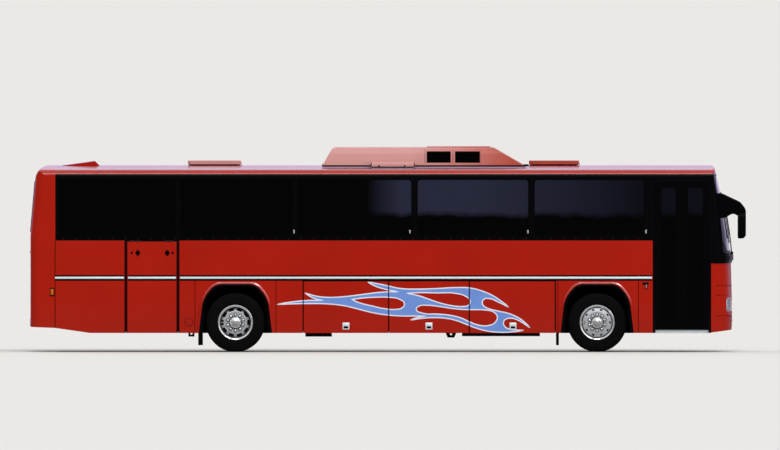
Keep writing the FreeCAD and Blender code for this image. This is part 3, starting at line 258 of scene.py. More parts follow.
def wire(points, radius, closed=False):
    """A round bar along points."""
    clear()
    bpy.ops.curve.primitive_nurbs_path_add()
    piece = bpy.context.active_object
    curve = piece.data
    curve.splines.clear()
    spline = curve.splines.new("NURBS")
    spline.points.add(len(points) - 1)
    for point, place in zip(spline.points, points):
        point.co = (*place, 1)
    spline.use_cyclic_u = closed
    spline.order_u = 3
    spline.use_endpoint_u = not closed
    curve.dimensions = "3D"
    curve.bevel_depth = radius
    curve.bevel_resolution = 3
    curve.use_fill_caps = True
    hold(piece)
    bpy.ops.object.convert(target="MESH")
    return settled(bpy.context.active_object)


def finish(piece, name, material, body="coach_body"):
    """Name a piece, give it its material and let it ride on a body."""
    hold(piece)
    piece.name = piece.data.name = name
    piece.data.materials.clear()
    piece.data.materials.append(MATERIALS[material])
    bpy.ops.object.shade_smooth_by_angle(angle=math.radians(35))
    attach(piece, body)
    return piece


def struck(node, start, way):
    """Where a ray first meets a CAD node, or None where it passes by."""
    hit, place, _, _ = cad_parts[node].ray_cast(Vector(start), Vector(way))
    return place if hit else None


def nose_x(y, z, nodes=("front_mask", "end_windows")):
    """Where the coach's front stands at a height and a place across it."""
    places = [struck(node, (8, y, z), (-1, 0, 0)) for node in nodes]
    found = [place.x for place in places if place is not None]
    if not found:
        raise RuntimeError(f"no front at y {y}, z {z}")
    return max(found)


# Materials


def darkened(colour, share):
    """A colour at a share of its brightness."""
    return tuple(c * share for c in colour[:3]) + (1,)


def add(tree, kind, inputs=(), **settings):
    """Add a shader node with its settings and its inputs, which are given in order or by socket, each
    as a value or as the output that feeds it."""
    made = tree.nodes.new("ShaderNode" + kind)
    for name, value in settings.items():
        setattr(made, name, value)
    for socket, value in inputs.items() if isinstance(inputs, dict) else enumerate(inputs):
        if isinstance(value, bpy.types.NodeSocket):
            tree.links.new(value, made.inputs[socket])
        else:
            made.inputs[socket].default_value = value
    return made


def surface(name, **values):
    """A material with its shader, and the place on the object that its patterns read."""
    made = bpy.data.materials.new(name)
    made.use_nodes = True
    tree = made.node_tree
    tree.nodes.clear()
    shader = add(tree, "BsdfPrincipled", {key.replace("_", " "): value for key, value in values.items()})
    add(tree, "OutputMaterial", {"Surface": shader.outputs[0]})
    MATERIALS[name] = made
    return tree, shader, add(tree, "TexCoord").outputs["Object"]


def feed(tree, shader, colour, roughness=None, height=None, distance=0.001, strength=0.5):
    """Link a pattern's outputs to the shader."""
    tree.links.new(colour, shader.inputs["Base Color"])
    if roughness:
        tree.links.new(roughness, shader.inputs["Roughness"])
    if height:
        bump = add(tree, "Bump", {"Distance": distance, "Strength": strength, "Height": height})
        tree.links.new(bump.outputs[0], shader.inputs["Normal"])


def within(tree, place, spans):
    """1 where a place lies inside all the given spans of X, Y or Z, and 0 outside."""
    parts = add(tree, "SeparateXYZ", (place,)).outputs
    whole = None
    for axis, (low, high) in spans.items():
        span = (parts[axis], (low + high) / 2, (high - low) / 2)
        near = add(tree, "Math", span, operation="COMPARE").outputs[0]
        if whole:
            near = add(tree, "Math", (whole, near), operation="MULTIPLY").outputs[0]
        whole = near
    return whole


def coats(tree, ground, *layers):
    """Colours laid over a ground in turn, each as thick as its mask says."""
    for mask, colour in layers:
        ground = add(tree, "Mix", {0: mask, 6: ground, 7: colour}, data_type="RGBA").outputs[2]
    return ground


def enamel(name, colour, black=(), lining=None):
    """Two-pack coach enamel over steel sheet: deep gloss with a faint ripple of the sheet in its
    reflections, brightest where it slopes up to the sky, road dust low down, black where the
    windows' band runs and where shade and shadow are painted, and pale lining inside."""
    tree, shader, place = surface(name, Roughness=0.3, Specular_IOR_Level=0.06, Coat_Roughness=0.2,
                                  Coat_IOR=1.9)
    dull = 0.12  # the coat on upright walls and on the black
    slope = add(tree, "SeparateXYZ", (add(tree, "NewGeometry").outputs["Normal"],)).outputs["Z"]
    height = add(tree, "SeparateXYZ", (place,)).outputs["Z"]
    # The walls' ledges and flares shine at a slight slope, the roof's edge only where it turns flat
    wall = add(tree, "MapRange", (slope, 0.04, 0.3, dull, 1.0)).outputs[0]
    edge = add(tree, "MapRange", (slope, 0.5, 0.85, dull, 1.0)).outputs[0]
    roof = add(tree, "MapRange", (height, 2.96, 2.99)).outputs[0]
    gloss = add(tree, "Mix", {0: roof, 2: wall, 3: edge}).outputs[0]
    # The coat is uneven over about 0.8 m, its dust lies in blotches of 110 mm below the waist, and the
    # sheet ripples over about 0.4 m
    mottle = add(tree, "TexNoise", {"Vector": place, "Scale": 1.3, "Detail": 4.0}).outputs[0]
    low_down = add(tree, "MapRange", (height, 0.95, 0.32, 0.0, 0.16)).outputs[0]
    specks = add(tree, "TexNoise", {"Vector": place, "Scale": 9.0, "Detail": 8.0, "Roughness": 0.7})
    dust = add(tree, "Math", (low_down, specks.outputs[0]), operation="MULTIPLY").outputs[0]
    paint = coats(tree, colour, (mottle, darkened(colour, 0.82)), (dust, linear("#4A3A30")))
    # Some black spans are painted shade and shadow: the flares' lips and the flaps' heads
    for spans in black:
        inside = within(tree, place, spans)
        paint = coats(tree, paint, (inside, linear("#020204")))
        gloss = add(tree, "Mix", {0: inside, 2: gloss, 3: dull}).outputs[0]
    tree.links.new(gloss, shader.inputs["Coat Weight"])
    if lining:
        paint = coats(tree, paint, (within(tree, place, lining), linear("#5A5C62")))
    ripple = add(tree, "TexNoise", {"Vector": place, "Scale": 2.4, "Detail": 1.0}).outputs[0]
    rough = add(tree, "MapRange", (dust, 0.0, 0.4, 0.26, 0.62)).outputs[0]
    feed(tree, shader, paint, rough, ripple, 0.004, 0.35)


def plain(name, hexcode, roughness, scale, depth, spread=0.8, **values):
    """A surface of one substance whose colour and relief vary with a fine grain, so many to a metre."""
    tree, shader, place = surface(name, Roughness=roughness, **values)
    noise = {"Vector": place, "Scale": scale, "Detail": 6.0, "Roughness": 0.6}
    grain = add(tree, "TexNoise", noise).outputs[0]
    colour = linear(hexcode)
    shade = coats(tree, darkened(colour, spread), (grain, colour))
    rough = add(tree, "MapRange", {0: grain, 3: roughness * 0.85, 4: min(1, roughness * 1.2)}).outputs[0]
    feed(tree, shader, shade, rough, grain, depth)


class COACH_OT_materials(Operator):
    """Make the coach's materials"""

    bl_idname = "coach.materials"
    bl_label = "Materials"

    def execute(self, context):
        colours = context.scene.coach_colours
        self.enamels(tuple(colours.body))
        self.gelcoat(tuple(colours.unit))
        self.glass()
        self.lenses()
        self.metals()
        self.plastics()
        self.tyre()
        self.pattern(colours)
        self.cloth(tuple(colours.cloth))
        return {"FINISHED"}

    def enamels(self, body):
        """The panels' paint, with the places that are black or lined."""
        band = {"X": (TAIL + 0.424, FAR), "Z": (BAND_FOOT, BAND_HEAD)}
        doorway = {"X": (TAIL + 10.640, FAR), "Y": (-FAR, 0), "Z": (0, BAND_HEAD)}
        cab = {"X": (TAIL + 10.640, FAR), "Y": (0, FAR), "Z": (1.69, BAND_HEAD)}
        # Painted shadow: black lines at the flaps' heads, under the waist trim and under the window rail
        painted_shadow_flap_heads = ({"X": (TAIL + 4.65, TAIL + 8.99), "Z": (1.2205, 1.2430)},
                      {"X": (TAIL + 1.62, TAIL + 2.54), "Z": (1.8890, 1.9080)})
        # The flares' flat inner lips, painted black: painted shade that widens the dark of the wheel arches
        shaded_flare_lips = ({"Y": (1.302, 1.32)}, {"Y": (-1.32, -1.302)})
        inner = {"Y": (-1.232, 1.232), "Z": (1.29, 3.2)}
        enamel("side_enamel", body, (band, doorway, cab, *painted_shadow_flap_heads, *shaded_flare_lips), inner)
        enamel("nose_enamel", body, ({"Z": (1.515, BAND_HEAD)},))
        skin = TAIL + 0.17  # how far forward the tail's outer face reaches
        window = {"X": (-FAR, skin), "Y": (-1.0, 1.0), "Z": (1.985, 2.965)}
        enamel("tail_enamel", body, (window,), {"X": (skin, FAR), "Y": (-1.232, 1.232), "Z": (1.29, 3)})
        enamel("roof_enamel", body, (), {"Y": (-1.2, 1.2), "Z": (0, 3.128)})
        enamel("door_enamel", body, painted_shadow_flap_heads)

    def gelcoat(self, unit):
        """The roof unit's glass fibre."""
        # Gel-coated glass fibre gone chalky in the sun: paler, dull and blotched over about 0.6 m,
        # with one repaired patch that has kept its colour
        tree, shader, place = surface("chalked_gelcoat", Roughness=0.5, Specular_IOR_Level=0.3)
        blotch = add(tree, "TexNoise", {"Vector": place, "Scale": 1.7, "Detail": 7.0, "Roughness": 0.65})
        faded = add(tree, "ValToRGB", (blotch.outputs[0],))
        for stop, where, colour in zip(faded.color_ramp.elements, (0.32, 0.66), (darkened(unit, 0.72), unit)):
            stop.position, stop.color = where, colour
        patch = within(tree, place, {"X": (TAIL + 6.44, TAIL + 6.575), "Z": (3.26, 3.44)})
        mended = add(tree, "Math", (patch, 0.45), operation="MULTIPLY").outputs[0]
        # It is palest at the rear and keeps its red at the front, it is painted dark behind the louvres as
        # shade, and its foot carries a painted lilac reflection of the sky
        run = add(tree, "SeparateXYZ", (place,)).outputs["X"]
        pale = add(tree, "MapRange", (run, TAIL + 8.25, TAIL + 6.5, 0.0, 0.8)).outputs[0]
        fresh = add(tree, "MapRange", (run, TAIL + 7.8, TAIL + 8.4, 0.0, 0.45)).outputs[0]
        louvres = (TAIL + 6.762, TAIL + 7.694)
        # Painted shade on the wall behind the louvres
        painted_louvre_shade = within(tree, place, {"X": louvres, "Y": (-0.878, 0.878), "Z": (3.230, 3.424)})
        # Painted reflection: the lilac of the sky on the unit's foot
        foot = within(tree, place, {"X": (-FAR, FAR), "Z": (0, 3.166)})
        shade = coats(tree, faded.outputs[0], (mended, linear("#B8481A")), (pale, linear("#CB9994")),
                      (fresh, linear("#963E2E")), (painted_louvre_shade, linear("#06080A")), (foot, linear("#B3A2BE")))
        feed(tree, shader, shade, None, blotch.outputs[0], 0.002, 0.3)

    def glass(self):
        """Panes."""
        # Solar-tinted toughened glass: nearly black from outside, with a painted reflection of a violet sky
        # along the heads of the panes, in waves of about 0.6 m, which starts amidships and fades towards the
        # nose
        tree, shader, place = surface("tinted_toughened_glass", Roughness=0.03, IOR=1.45,
                                      Transmission_Weight=0.12, Specular_IOR_Level=0.1)
        film = add(tree, "TexNoise", {"Vector": place, "Scale": 1.6, "Detail": 5.0}).outputs[0]
        run, _, height = add(tree, "SeparateXYZ", (place,)).outputs
        wave = add(tree, "Math", (film, 0.28, height), operation="MULTIPLY_ADD").outputs[0]
        # The violet band is a painted reflection of the sky
        painted_sky_reflection = add(tree, "MapRange", {0: wave, 1: 2.43, 2: 2.55, 4: 0.75}).outputs[0]
        start = add(tree, "MapRange", (run, TAIL + 5.75, TAIL + 6.35)).outputs[0]
        fade = add(tree, "MapRange", (run, TAIL + 7.6, TAIL + 10.4, 1.0, 0.17)).outputs[0]
        for part in (start, fade):
            painted_sky_reflection = add(tree, "Math", (painted_sky_reflection, part), operation="MULTIPLY").outputs[0]
        feed(tree, shader, coats(tree, linear("#020203"), (painted_sky_reflection, linear("#2E3145"))))
        # Laminated windscreen glass: clearer and green-grey, opaque black at the sides, which is painted
        # shade of the dark cab seen through the screen's corners
        tree, shader, place = surface("laminated_glass", Roughness=0.04, IOR=1.45, Specular_IOR_Level=0.5)
        film = add(tree, "TexNoise", {"Vector": place, "Scale": 1.1, "Detail": 2.0}).outputs[0]
        clear_span = within(tree, place, {"Y": (-0.99, 0.99)})
        see = add(tree, "Math", (clear_span, 0.6), operation="MULTIPLY").outputs[0]
        tree.links.new(see, shader.inputs["Transmission Weight"])
        shade = coats(tree, linear("#1A2226"), (film, linear("#262E32")))
        feed(tree, shader, coats(tree, linear("#020306"), (clear_span, shade)))

    def lenses(self):
        """Lamp lenses."""
        # Moulded polycarbonate with flutes about 11 mm apart that break up what lies behind
        for name, code, see in (("clear_lens", "#DDE2E6", 0.85), ("red_lens", "#A00808", 0.25),
                                ("amber_lens", "#D87008", 0.3)):
            tree, shader, place = surface(name, Roughness=0.08, IOR=1.58, Transmission_Weight=see)
            wave = add(tree, "TexWave", {"Vector": place, "Scale": 28.0}, bands_direction="Y")
            flutes, tint = wave.outputs[1], linear(code)
            feed(tree, shader, coats(tree, tint, (flutes, darkened(tint, 0.85))), None, flutes, 0.0008)

    def metals(self):
        """Metal and iron."""
        # Forged alloy polished by hand: bright, with a faint cloud of brake dust
        plain("polished_alloy", "#E4E8EC", 0.16, 34.0, 0.0004, 0.85, Metallic=0.55)
        # Chromed steel: nut covers, hub cap and catches
        plain("chromed_steel", "#F0F2F4", 0.07, 50.0, 0.0002, 0.94, Metallic=0.72)
        # Anodised aluminium trim, a satin metal that takes the sky's colour
        plain("anodised_aluminium", "#EEF7FB", 0.3, 60.0, 0.0002, 0.95, Metallic=0.3)
        # Steel rivets darkened by weather
        plain("weathered_rivet", "#2C2E36", 0.4, 90.0, 0.0002, 0.8, Metallic=0.3)
        # Silvered mirror glass
        plain("silvered_glass", "#E8ECEE", 0.02, 3.0, 0.0001, 0.98, Metallic=1.0)
        # Powder-coated and undersealed steel, dusty from the road
        plain("undersealed_steel", "#0D0D0F", 0.62, 14.0, 0.002, 0.55, Specular_IOR_Level=0.15)
        # Cast iron with a rough sand-cast skin, brown-black from old rust
        plain("cast_iron", "#2B2622", 0.7, 48.0, 0.002, 0.6, Metallic=0.25)
        # Rolled aluminium tread plate, scuffed dull in patches of about 45 mm
        plain("aluminium_tread_plate", "#9EA4AA", 0.34, 22.0, 0.001, 0.75, Metallic=0.8)
        # Alloy painted nearly black with the shade in the depths of the rim: the rings under the nuts and
        # cap, the drum and the rim's well
        plain("painted_shade_alloy", "#101012", 0.6, 30.0, 0.0005, 0.6, Specular_IOR_Level=0.2)

    def plastics(self):
        """Mouldings, seals and linings."""
        # ABS moulding with a spark-eroded grain, drawn at 4 mm, coarse enough to show
        plain("moulded_abs", "#050507", 0.4, 260.0, 0.0004, 0.8, Specular_IOR_Level=0.03)
        # Extruded rubber seals, satin black
        plain("extruded_rubber", "#030304", 0.55, 90.0, 0.0005, 0.75, Specular_IOR_Level=0.03)
        # Moulded rubber of the bellows and mudflaps
        plain("moulded_rubber", "#060607", 0.75, 60.0, 0.001, 0.7, Specular_IOR_Level=0.03)
        # Laminate lining of the racks and floor
        plain("lining_laminate", "#33353B", 0.55, 40.0, 0.0006, 0.85)

    def tyre(self):
        """Vulcanised tyre rubber."""
        # Carbon-black rubber, nearly black: worn in soft patches of about 170 mm, with a skin that is
        # grained at 8 mm, coarse enough to show
        tree, shader, place = surface("vulcanised_rubber", Roughness=0.72, Specular_IOR_Level=0.05)
        fine = add(tree, "TexNoise", {"Vector": place, "Scale": 120.0, "Detail": 4.0}).outputs[0]
        broad = add(tree, "TexNoise", {"Vector": place, "Scale": 6.0, "Detail": 5.0}).outputs[0]
        shade = coats(tree, linear("#040405"), (broad, linear("#0B0B0B")))
        feed(tree, shader, shade, None, fine, 0.0015)

    def pattern(self, colours):
        """Paint of the licks."""
        # Sign-writer's enamel brushed over the red: flat colour, darker in thin strokes 0.3 m long
        for name, colour in (("flame_enamel", colours.flame), ("pinstripe_enamel", colours.stripe)):
            tree, shader, place = surface(name, Roughness=0.35, Specular_IOR_Level=0.3)
            brush = add(tree, "TexNoise", {"Vector": place, "Scale": 3.5, "Detail": 5.0}).outputs[0]
            shade = coats(tree, darkened(colour, 0.78), (brush, tuple(colour)))
            feed(tree, shader, shade, None, brush, 0.0004, 0.3)

    def cloth(self, ground):
        """The seats' covers."""
        # Wool moquette: cut pile with a woven fleck about 12 mm across at every 22 mm, both drawn
        # coarse enough to show
        tree, shader, place = surface("wool_moquette", Roughness=0.9, Sheen_Weight=0.5, Sheen_Roughness=0.4)
        cells = add(tree, "TexVoronoi", {"Vector": place, "Scale": 46.0}).outputs["Distance"]
        fleck = add(tree, "MapRange", (cells, 0.25, 0.32, 1.0, 0.0)).outputs[0]
        pile = add(tree, "TexNoise", {"Vector": place, "Scale": 420.0, "Detail": 2.0}).outputs[0]
        feed(tree, shader, coats(tree, ground, (fleck, linear("#8C2A2A"))), None, pile, 0.0012, 0.6)


# The finish of each carried-over piece
FINISHES = {
    "side_enamel": ("right_side_wall", "left_side_wall"),
    "nose_enamel": ("front_mask",),
    "tail_enamel": ("rear_mask",),
    "door_enamel": ("engine_lid", "service_door_right", "service_door_left",
                    *[f"luggage_door_{side}_{end}" for _, side in SIDES for end in DOOR_NAMES]),
    "roof_enamel": ("roof",),
    "chalked_gelcoat": ("roof_unit", "roof_hatch_rear", "roof_hatch_front"),
    "polished_alloy": ("front_rim_right", "front_rim_left", "rear_rims_right", "rear_rims_left"),
    "cast_iron": ("front_axle", "rear_axle", "engine", "propshaft", "knuckle_right", "knuckle_left"),
    "undersealed_steel": ("luggage_bays", "chassis_frame", "fuel_tank"),
    "moulded_rubber": ("air_springs", "wheel_housings"),
    "moulded_abs": ("mirrors", "dashboard", "roof_unit_louvres", "entry_door_front_leaf",
                    "entry_door_rear_leaf"),
    "tinted_toughened_glass": ("side_windows", "entry_door_front_glass", "entry_door_rear_glass"),
    "laminated_glass": ("end_windows",),
    "clear_lens": ("head_lamps",),
    "red_lens": ("tail_lamps",),
    "aluminium_tread_plate": ("step_well",),
    "lining_laminate": ("saloon_floor", "luggage_racks"),
}


class COACH_OT_dress(Operator):
    """Give every carried-over piece its finished material"""

    bl_idname = "coach.dress"
    bl_label = "Dress the coach"

    def execute(self, context):
        for material, nodes in FINISHES.items():
            for node in nodes:
                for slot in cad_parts[node].material_slots:
                    slot.material = MATERIALS[material]
        return {"FINISHED"}


# Side fittings


def strips(side, stand, *spans, edge=0.002):
    """Flat strips that stand out from a side of the coach, as one piece, each between two places along
    it, measured from the tail, and two heights."""
    y0, y1 = sorted((side * SIDE, side * (SIDE + stand)))
    return joined([block((TAIL + x0, y0, z0), (TAIL + x1, y1, z1), edge) for x0, x1, z0, z1 in spans])


def disc(side, x, z, profile, steps):
    """A round piece on a side of the coach, from points of radius and stand."""
    return turned([(r, side * out) for r, out in profile], (TAIL + x, side * SIDE, z), steps=steps)


class COACH_OT_waist_trim(Operator):
    """Bright trim along the waist on its dark rubber base"""

    bl_idname = "coach.waist_trim"
    bl_label = "Waist trim"

    def execute(self, context):
        stand = context.scene.coach_sizes.trim_stand
        for side, name in SIDES:
            front = 10.628 if side < 0 else 11.60  # the doorway, or the nose
            door = ((1.667, 2.488),)
            for piece, runs, skirts, body in (
                ("", ((0.419, 1.599), (2.556, front)), ((0.419, 1.603), (2.552, 4.655), (8.984, front)),
                 "coach_body"),
                ("_service", door, door, f"service_door_{name}"),
            ):
                bright = strips(side, stand, *[(*run, 1.2515, 1.2870) for run in runs], edge=0.005)
                finish(bright, f"waist_trim_{name}{piece}", "anodised_aluminium", body)
                # The base shows above the trim, and below it except where the flaps swing; the strip below is
                # also painted shadow under the trim
                base = [(*run, 1.2425, 1.3150) for run in runs] + [(*run, 1.220, 1.243) for run in skirts]
                finish(strips(side, stand * 0.4, *base, edge=0.001), f"waist_trim_base_{name}{piece}",
                       "extruded_rubber", body)
        return {"FINISHED"}


class COACH_OT_window_rail(Operator):
    """Rail under the windows with its rivets, and the bright catches at the pillars"""

    bl_idname = "coach.window_rail"
    bl_label = "Window rail"

    def execute(self, context):
        sizes = context.scene.coach_sizes
        radius = sizes.rivet_radius
        rivet = turned([(radius, 0), (radius, 0.002), (radius * 0.6, 0.005), (0, 0.006)],
                       (TAIL + 0.56, SIDE + 0.004, 1.936), steps=10)
        rivets = modified(rivet, "ARRAY", count=47, use_relative_offset=False, use_constant_offset=True,
                          constant_offset_displace=(sizes.rivet_pitch, 0, 0))
        run = (0.445, 10.636)
        rail = joined([strips(1, 0.004, (*run, 1.912, 1.976)), strips(1, 0.007, (*run, 1.977, 1.985))])
        pillars = (4.506, 6.489, 8.507, 10.525)
        catches = strips(1, 0.012, *[(x - 0.013, x + 0.013, 2.025, 2.085) for x in pillars], edge=0.005)
        for side, name in SIDES:
            flip = mirrored if side < 0 else moved
            finish(flip(rail), f"window_rail_{name}", "extruded_rubber")
            finish(flip(rivets), f"window_rail_rivets_{name}", "weathered_rivet")
            finish(flip(catches), f"window_catches_{name}", "chromed_steel")
        discard(rail, rivets, catches)
        return {"FINISHED"}


def pane_gasket(x0, x1, z0, z1, y, width, stand, corner=0.07):
    """A rubber frame round a pane, its corners rounded."""
    x0, x1, y = TAIL + x0, TAIL + x1, min(y, y + stand)
    piece = edited(outline([(x0, y, z0), (x1, y, z0), (x1, y, z1), (x0, y, z1)]))
    bpy.ops.mesh.bevel(offset=corner, segments=5, affect="VERTICES")
    bpy.ops.mesh.select_all(action="SELECT")
    bpy.ops.mesh.inset(thickness=width)
    bpy.ops.mesh.delete(type="FACE")
    bpy.ops.mesh.select_all(action="SELECT")
    bpy.ops.mesh.extrude_region_move(TRANSFORM_OT_translate={"value": (0, abs(stand), 0)})
    bpy.ops.mesh.select_all(action="SELECT")
    bpy.ops.mesh.normals_make_consistent(inside=False)
    clear()
    return rounded(piece, 0.0012, 1, 50)


class COACH_OT_window_gaskets(Operator):
    """Rubber round each side window and the panes of the entry door"""

    bl_idname = "coach.window_gaskets"
    bl_label = "Window gaskets"

    def execute(self, context):
        width = context.scene.coach_sizes.gasket_width
        sunk = SIDE - 0.004
        for side, name in SIDES:
            panes = [(x0, x1, PANE_FOOT, PANE_HEAD) for x0, x1 in PANES]
            if side > 0:
                panes.append((10.702, 11.558, 1.752, 2.905))  # the driver's window
            made = [pane_gasket(*pane, side * sunk, width, side * 0.006) for pane in panes]
            finish(joined(made), f"window_gaskets_{name}", "extruded_rubber")
        for leaf, x0, x1 in (("rear", 10.776, 11.045), ("front", 11.236, 11.506)):
            made = pane_gasket(x0, x1, 0.561, 2.819, -sunk, 0.010, -0.005, 0.04)
            finish(made, f"entry_door_{leaf}_gasket", "extruded_rubber", f"entry_door_{leaf}")
        return {"FINISHED"}


class COACH_OT_panel_joints(Operator):
    """Dark joints between the side panels and seals along the edges of the doors"""

    bl_idname = "coach.panel_joints"
    bl_label = "Panel joints"

    def execute(self, context):
        # How high the joints run: to the waist trim, to the windows' band and to the heads of the flaps
        waist, band, flap_head, service_head = 1.244, 1.905, 1.230, 1.885
        for side, name in SIDES:
            joints = [(0.415, 0.427, 0.416, band)]
            joints += [(x - 0.005, x + 0.005, PANEL_FOOT, waist) for x in (2.813, 4.198, 9.019, 10.395)]
            beside = [(x0, x1, PANEL_FOOT, band) for x0, x1 in ((1.607, 1.629), (2.526, 2.548))]
            ends = [(x0, x1, PANEL_FOOT, flap_head) for x0, x1 in ((4.6525, 4.6595), (8.9795, 8.9865))]
            wall = joined([strips(side, 0.0015, *joints, edge=0.0005),
                           strips(side, 0.003, *beside, edge=0.001),
                           strips(side, 0.002, *ends, edge=0.0006)])
            finish(wall, f"panel_joints_{name}", "extruded_rubber")
            edges = [(x0, x1, PANEL_FOOT, service_head) for x0, x1 in ((1.637, 1.658), (2.497, 2.518))]
            finish(strips(side, 0.003, *edges, edge=0.001), f"service_door_seal_{name}", "extruded_rubber",
                   f"service_door_{name}")
            for x0, x1, end in DOOR_SPANS:
                edges = [(x, x + 0.007, PANEL_FOOT, 1.216) for x in (x0 + 0.004, x1 - 0.011)]
                head = (x0 + 0.004, x1 - 0.004, 1.210, 1.2325)
                made = joined([strips(side, 0.002, *edges, edge=0.0006),
                               strips(side, 0.0032, head, edge=0.0006)])
                body = f"luggage_door_{name}_{end}"
                finish(made, f"{body}_seal", "extruded_rubber", body)
            self.rebates(side, name)
        return {"FINISHED"}

    def rebates(self, side, name):
        """Rubber flanges behind the gaps beside the flaps, fixed to the wall's inner face."""
        made = []
        for x, way, low, high in ((1.633, 1, 0.345, 1.885), (2.522, -1, 0.345, 1.885),
                                  (4.663, 1, 0.376, 1.235), (8.976, -1, 0.376, 1.235)):
            # The flange's root on the wall, and its deeper lip across the gap
            for reach, depth in ((-0.004, (1.2175, 1.2255)), (0.014, (1.2055, 1.2180))):
                x0, x1 = sorted((x - way * 0.022, x + way * reach))
                y0, y1 = sorted(side * y for y in depth)
                made.append(block((TAIL + x0, y0, low), (TAIL + x1, y1, high), 0.0005, 1))
        finish(joined(made), f"flap_rebates_{name}", "extruded_rubber")


class COACH_OT_hatch_seals(Operator):
    """Dark seals under the roof hatches' lids"""

    bl_idname = "coach.hatch_seals"
    bl_label = "Hatch seals"

    def execute(self, context):
        foot, head = 3.1875, 3.2036
        for x0, x1, end in ((2.705, 3.586, "rear"), (8.536, 9.365, "front")):
            # One along each side, and one across the rear end
            made = [block((TAIL + x0, y - 0.006, foot), (TAIL + x1, y + 0.006, head), 0.002)
                    for y in (-0.386, 0.386)]
            made.append(block((TAIL + x0, -0.380, foot), (TAIL + x0 + 0.012, 0.380, head), 0.002))
            finish(joined(made), f"roof_hatch_{end}_seal", "extruded_rubber", f"roof_hatch_{end}")
        return {"FINISHED"}


class COACH_OT_latches(Operator):
    """Latches, locks, the filler cap and the rear side markers"""

    bl_idname = "coach.latches"
    bl_label = "Latches and filler"

    def execute(self, context):
        for side, name in SIDES:
            for x, end in zip((5.395, 6.814, 8.251), DOOR_NAMES):
                body = f"luggage_door_{name}_{end}"
                # A back plate with its pull, and the dark cup under the pull
                made = [strips(side, 0.004, (x - 0.058, x + 0.058, 0.386, 0.504), edge=0.003),
                        strips(side, 0.011, (x - 0.030, x + 0.030, 0.450, 0.484), edge=0.006)]
                finish(joined(made), f"{body}_latch", "anodised_aluminium", body)
                cup = strips(side, 0.0055, (x - 0.040, x + 0.040, 0.402, 0.440))
                finish(cup, f"{body}_latch_cup", "moulded_abs", body)
            self.service(side, name)
            self.filler(side, name)
            self.fixed(side, name)
        return {"FINISHED"}

    def service(self, side, name):
        """Round and small latches at the head of the tall rear door."""
        made = []
        z = 1.695
        for x, small in ((1.835, 1.732), (2.339, 2.433)):
            made += [disc(side, x, z, ((0.040, 0), (0.040, 0.004), (0.034, 0.010), (0, 0.011)), 28),
                     strips(side, 0.014, (x - 0.010, x + 0.010, z - 0.055, z + 0.055), edge=0.005),
                     disc(side, small, z, ((0.020, 0), (0.020, 0.006), (0, 0.009)), 20)]
        finish(joined(made), f"service_door_latches_{name}", "moulded_abs", f"service_door_{name}")

    def filler(self, side, name):
        """Filler cap in its ring, with the dark seal between the two."""
        x, z = 2.710, 0.514
        ring = disc(side, x, z, ((0.084, 0), (0.084, 0.005), (0.074, 0.006), (0.070, 0.001), (0.070, 0)), 48)
        cap = disc(side, x, z, ((0.066, 0), (0.064, 0.003), (0.030, 0.004), (0.028, 0.010), (0, 0.011)), 40)
        finish(joined([ring, cap]), f"filler_cap_{name}", "door_enamel")
        seal = disc(side, x, z, ((0.0745, 0), (0.0745, 0.003), (0.0655, 0.003), (0.0655, 0)), 48)
        finish(seal, f"filler_seal_{name}", "extruded_rubber")

    def fixed(self, side, name):
        """Lock and marker on the fixed panels."""
        lock = [strips(side, 0.012, (10.470, 10.570, 1.150, 1.190), edge=0.006),
                strips(side, 0.014, (10.515, 10.545, 1.075, 1.160), edge=0.006)]
        finish(joined(lock), f"side_lock_{name}", "moulded_abs")
        for piece, stand, span, edge, material in (
            ("side_lock_key", 0.0165, (10.522, 10.538, 1.095, 1.150), 0.004, "chromed_steel"),
            ("rear_marker_base", 0.006, (0.330, 0.408, 0.955, 1.098), 0.005, "moulded_abs"),
            ("rear_marker", 0.014, (0.342, 0.396, 0.975, 1.078), 0.006, "amber_lens"),
        ):
            finish(strips(side, stand, span, edge=edge), f"{piece}_{name}", material)


# Pattern

# Outline of the licks and of the red lobes inside them: millimetres forward of the tail and up from
# the ground, with a 1 where the line turns sharply
FLAME_EDGE = (
    (5772, 1197, 1), (6120, 1127), (6309, 1086), (6626, 1074), (6942, 1083), (7258, 1099),
    (7511, 1093), (7701, 1048), (7891, 969), (8049, 868), (8175, 770, 1), (8017, 849),
    (7827, 919), (7748, 900), (7723, 836), (7764, 773), (7859, 732), (7985, 700),
    (8144, 666), (8270, 621), (8397, 549), (8539, 419, 1), (8428, 495), (8333, 549),
    (8223, 580), (8128, 564), (8087, 511), (8106, 438), (8175, 394), (8302, 375),
    (8428, 371, 1), (8270, 349), (8049, 340), (7827, 359), (7638, 406), (7448, 479),
    (7258, 549), (7068, 583), (6879, 590), (6689, 577), (6499, 549, 1), (6626, 590),
    (6768, 612, 1), (6626, 618), (6373, 618), (6120, 634), (5867, 672), (5613, 735),
    (5360, 795), (5044, 827), (4696, 830), (4412, 824), (4222, 814, 1), (4412, 846),
    (4696, 877), (5013, 881, 1), (4854, 919), (4696, 1007, 1), (4854, 960), (5044, 934),
    (5360, 944), (5677, 982), (5993, 1020), (6293, 1029, 1), (5993, 1096), (5867, 1143),
)
FLAME_LOBES = (
    ((6429, 1004, 1), (6626, 1017), (6942, 1013), (7258, 1007), (7448, 953), (7521, 881),
     (7495, 802), (7385, 776), (7258, 783), (7005, 836), (6815, 900), (6626, 963)),
    ((6594, 732), (6641, 786), (6784, 802), (7005, 779), (7258, 741), (7511, 726),
     (7764, 722), (7922, 685), (7985, 605), (7954, 511), (7859, 457), (7701, 450),
     (7511, 511), (7353, 583), (7163, 628), (6942, 647), (6720, 659)),
    ((5487, 900, 1), (5677, 925), (5867, 938), (6120, 938), (6309, 906), (6398, 827),
     (6357, 754), (6246, 726), (6056, 738), (5867, 779), (5613, 843)),
)


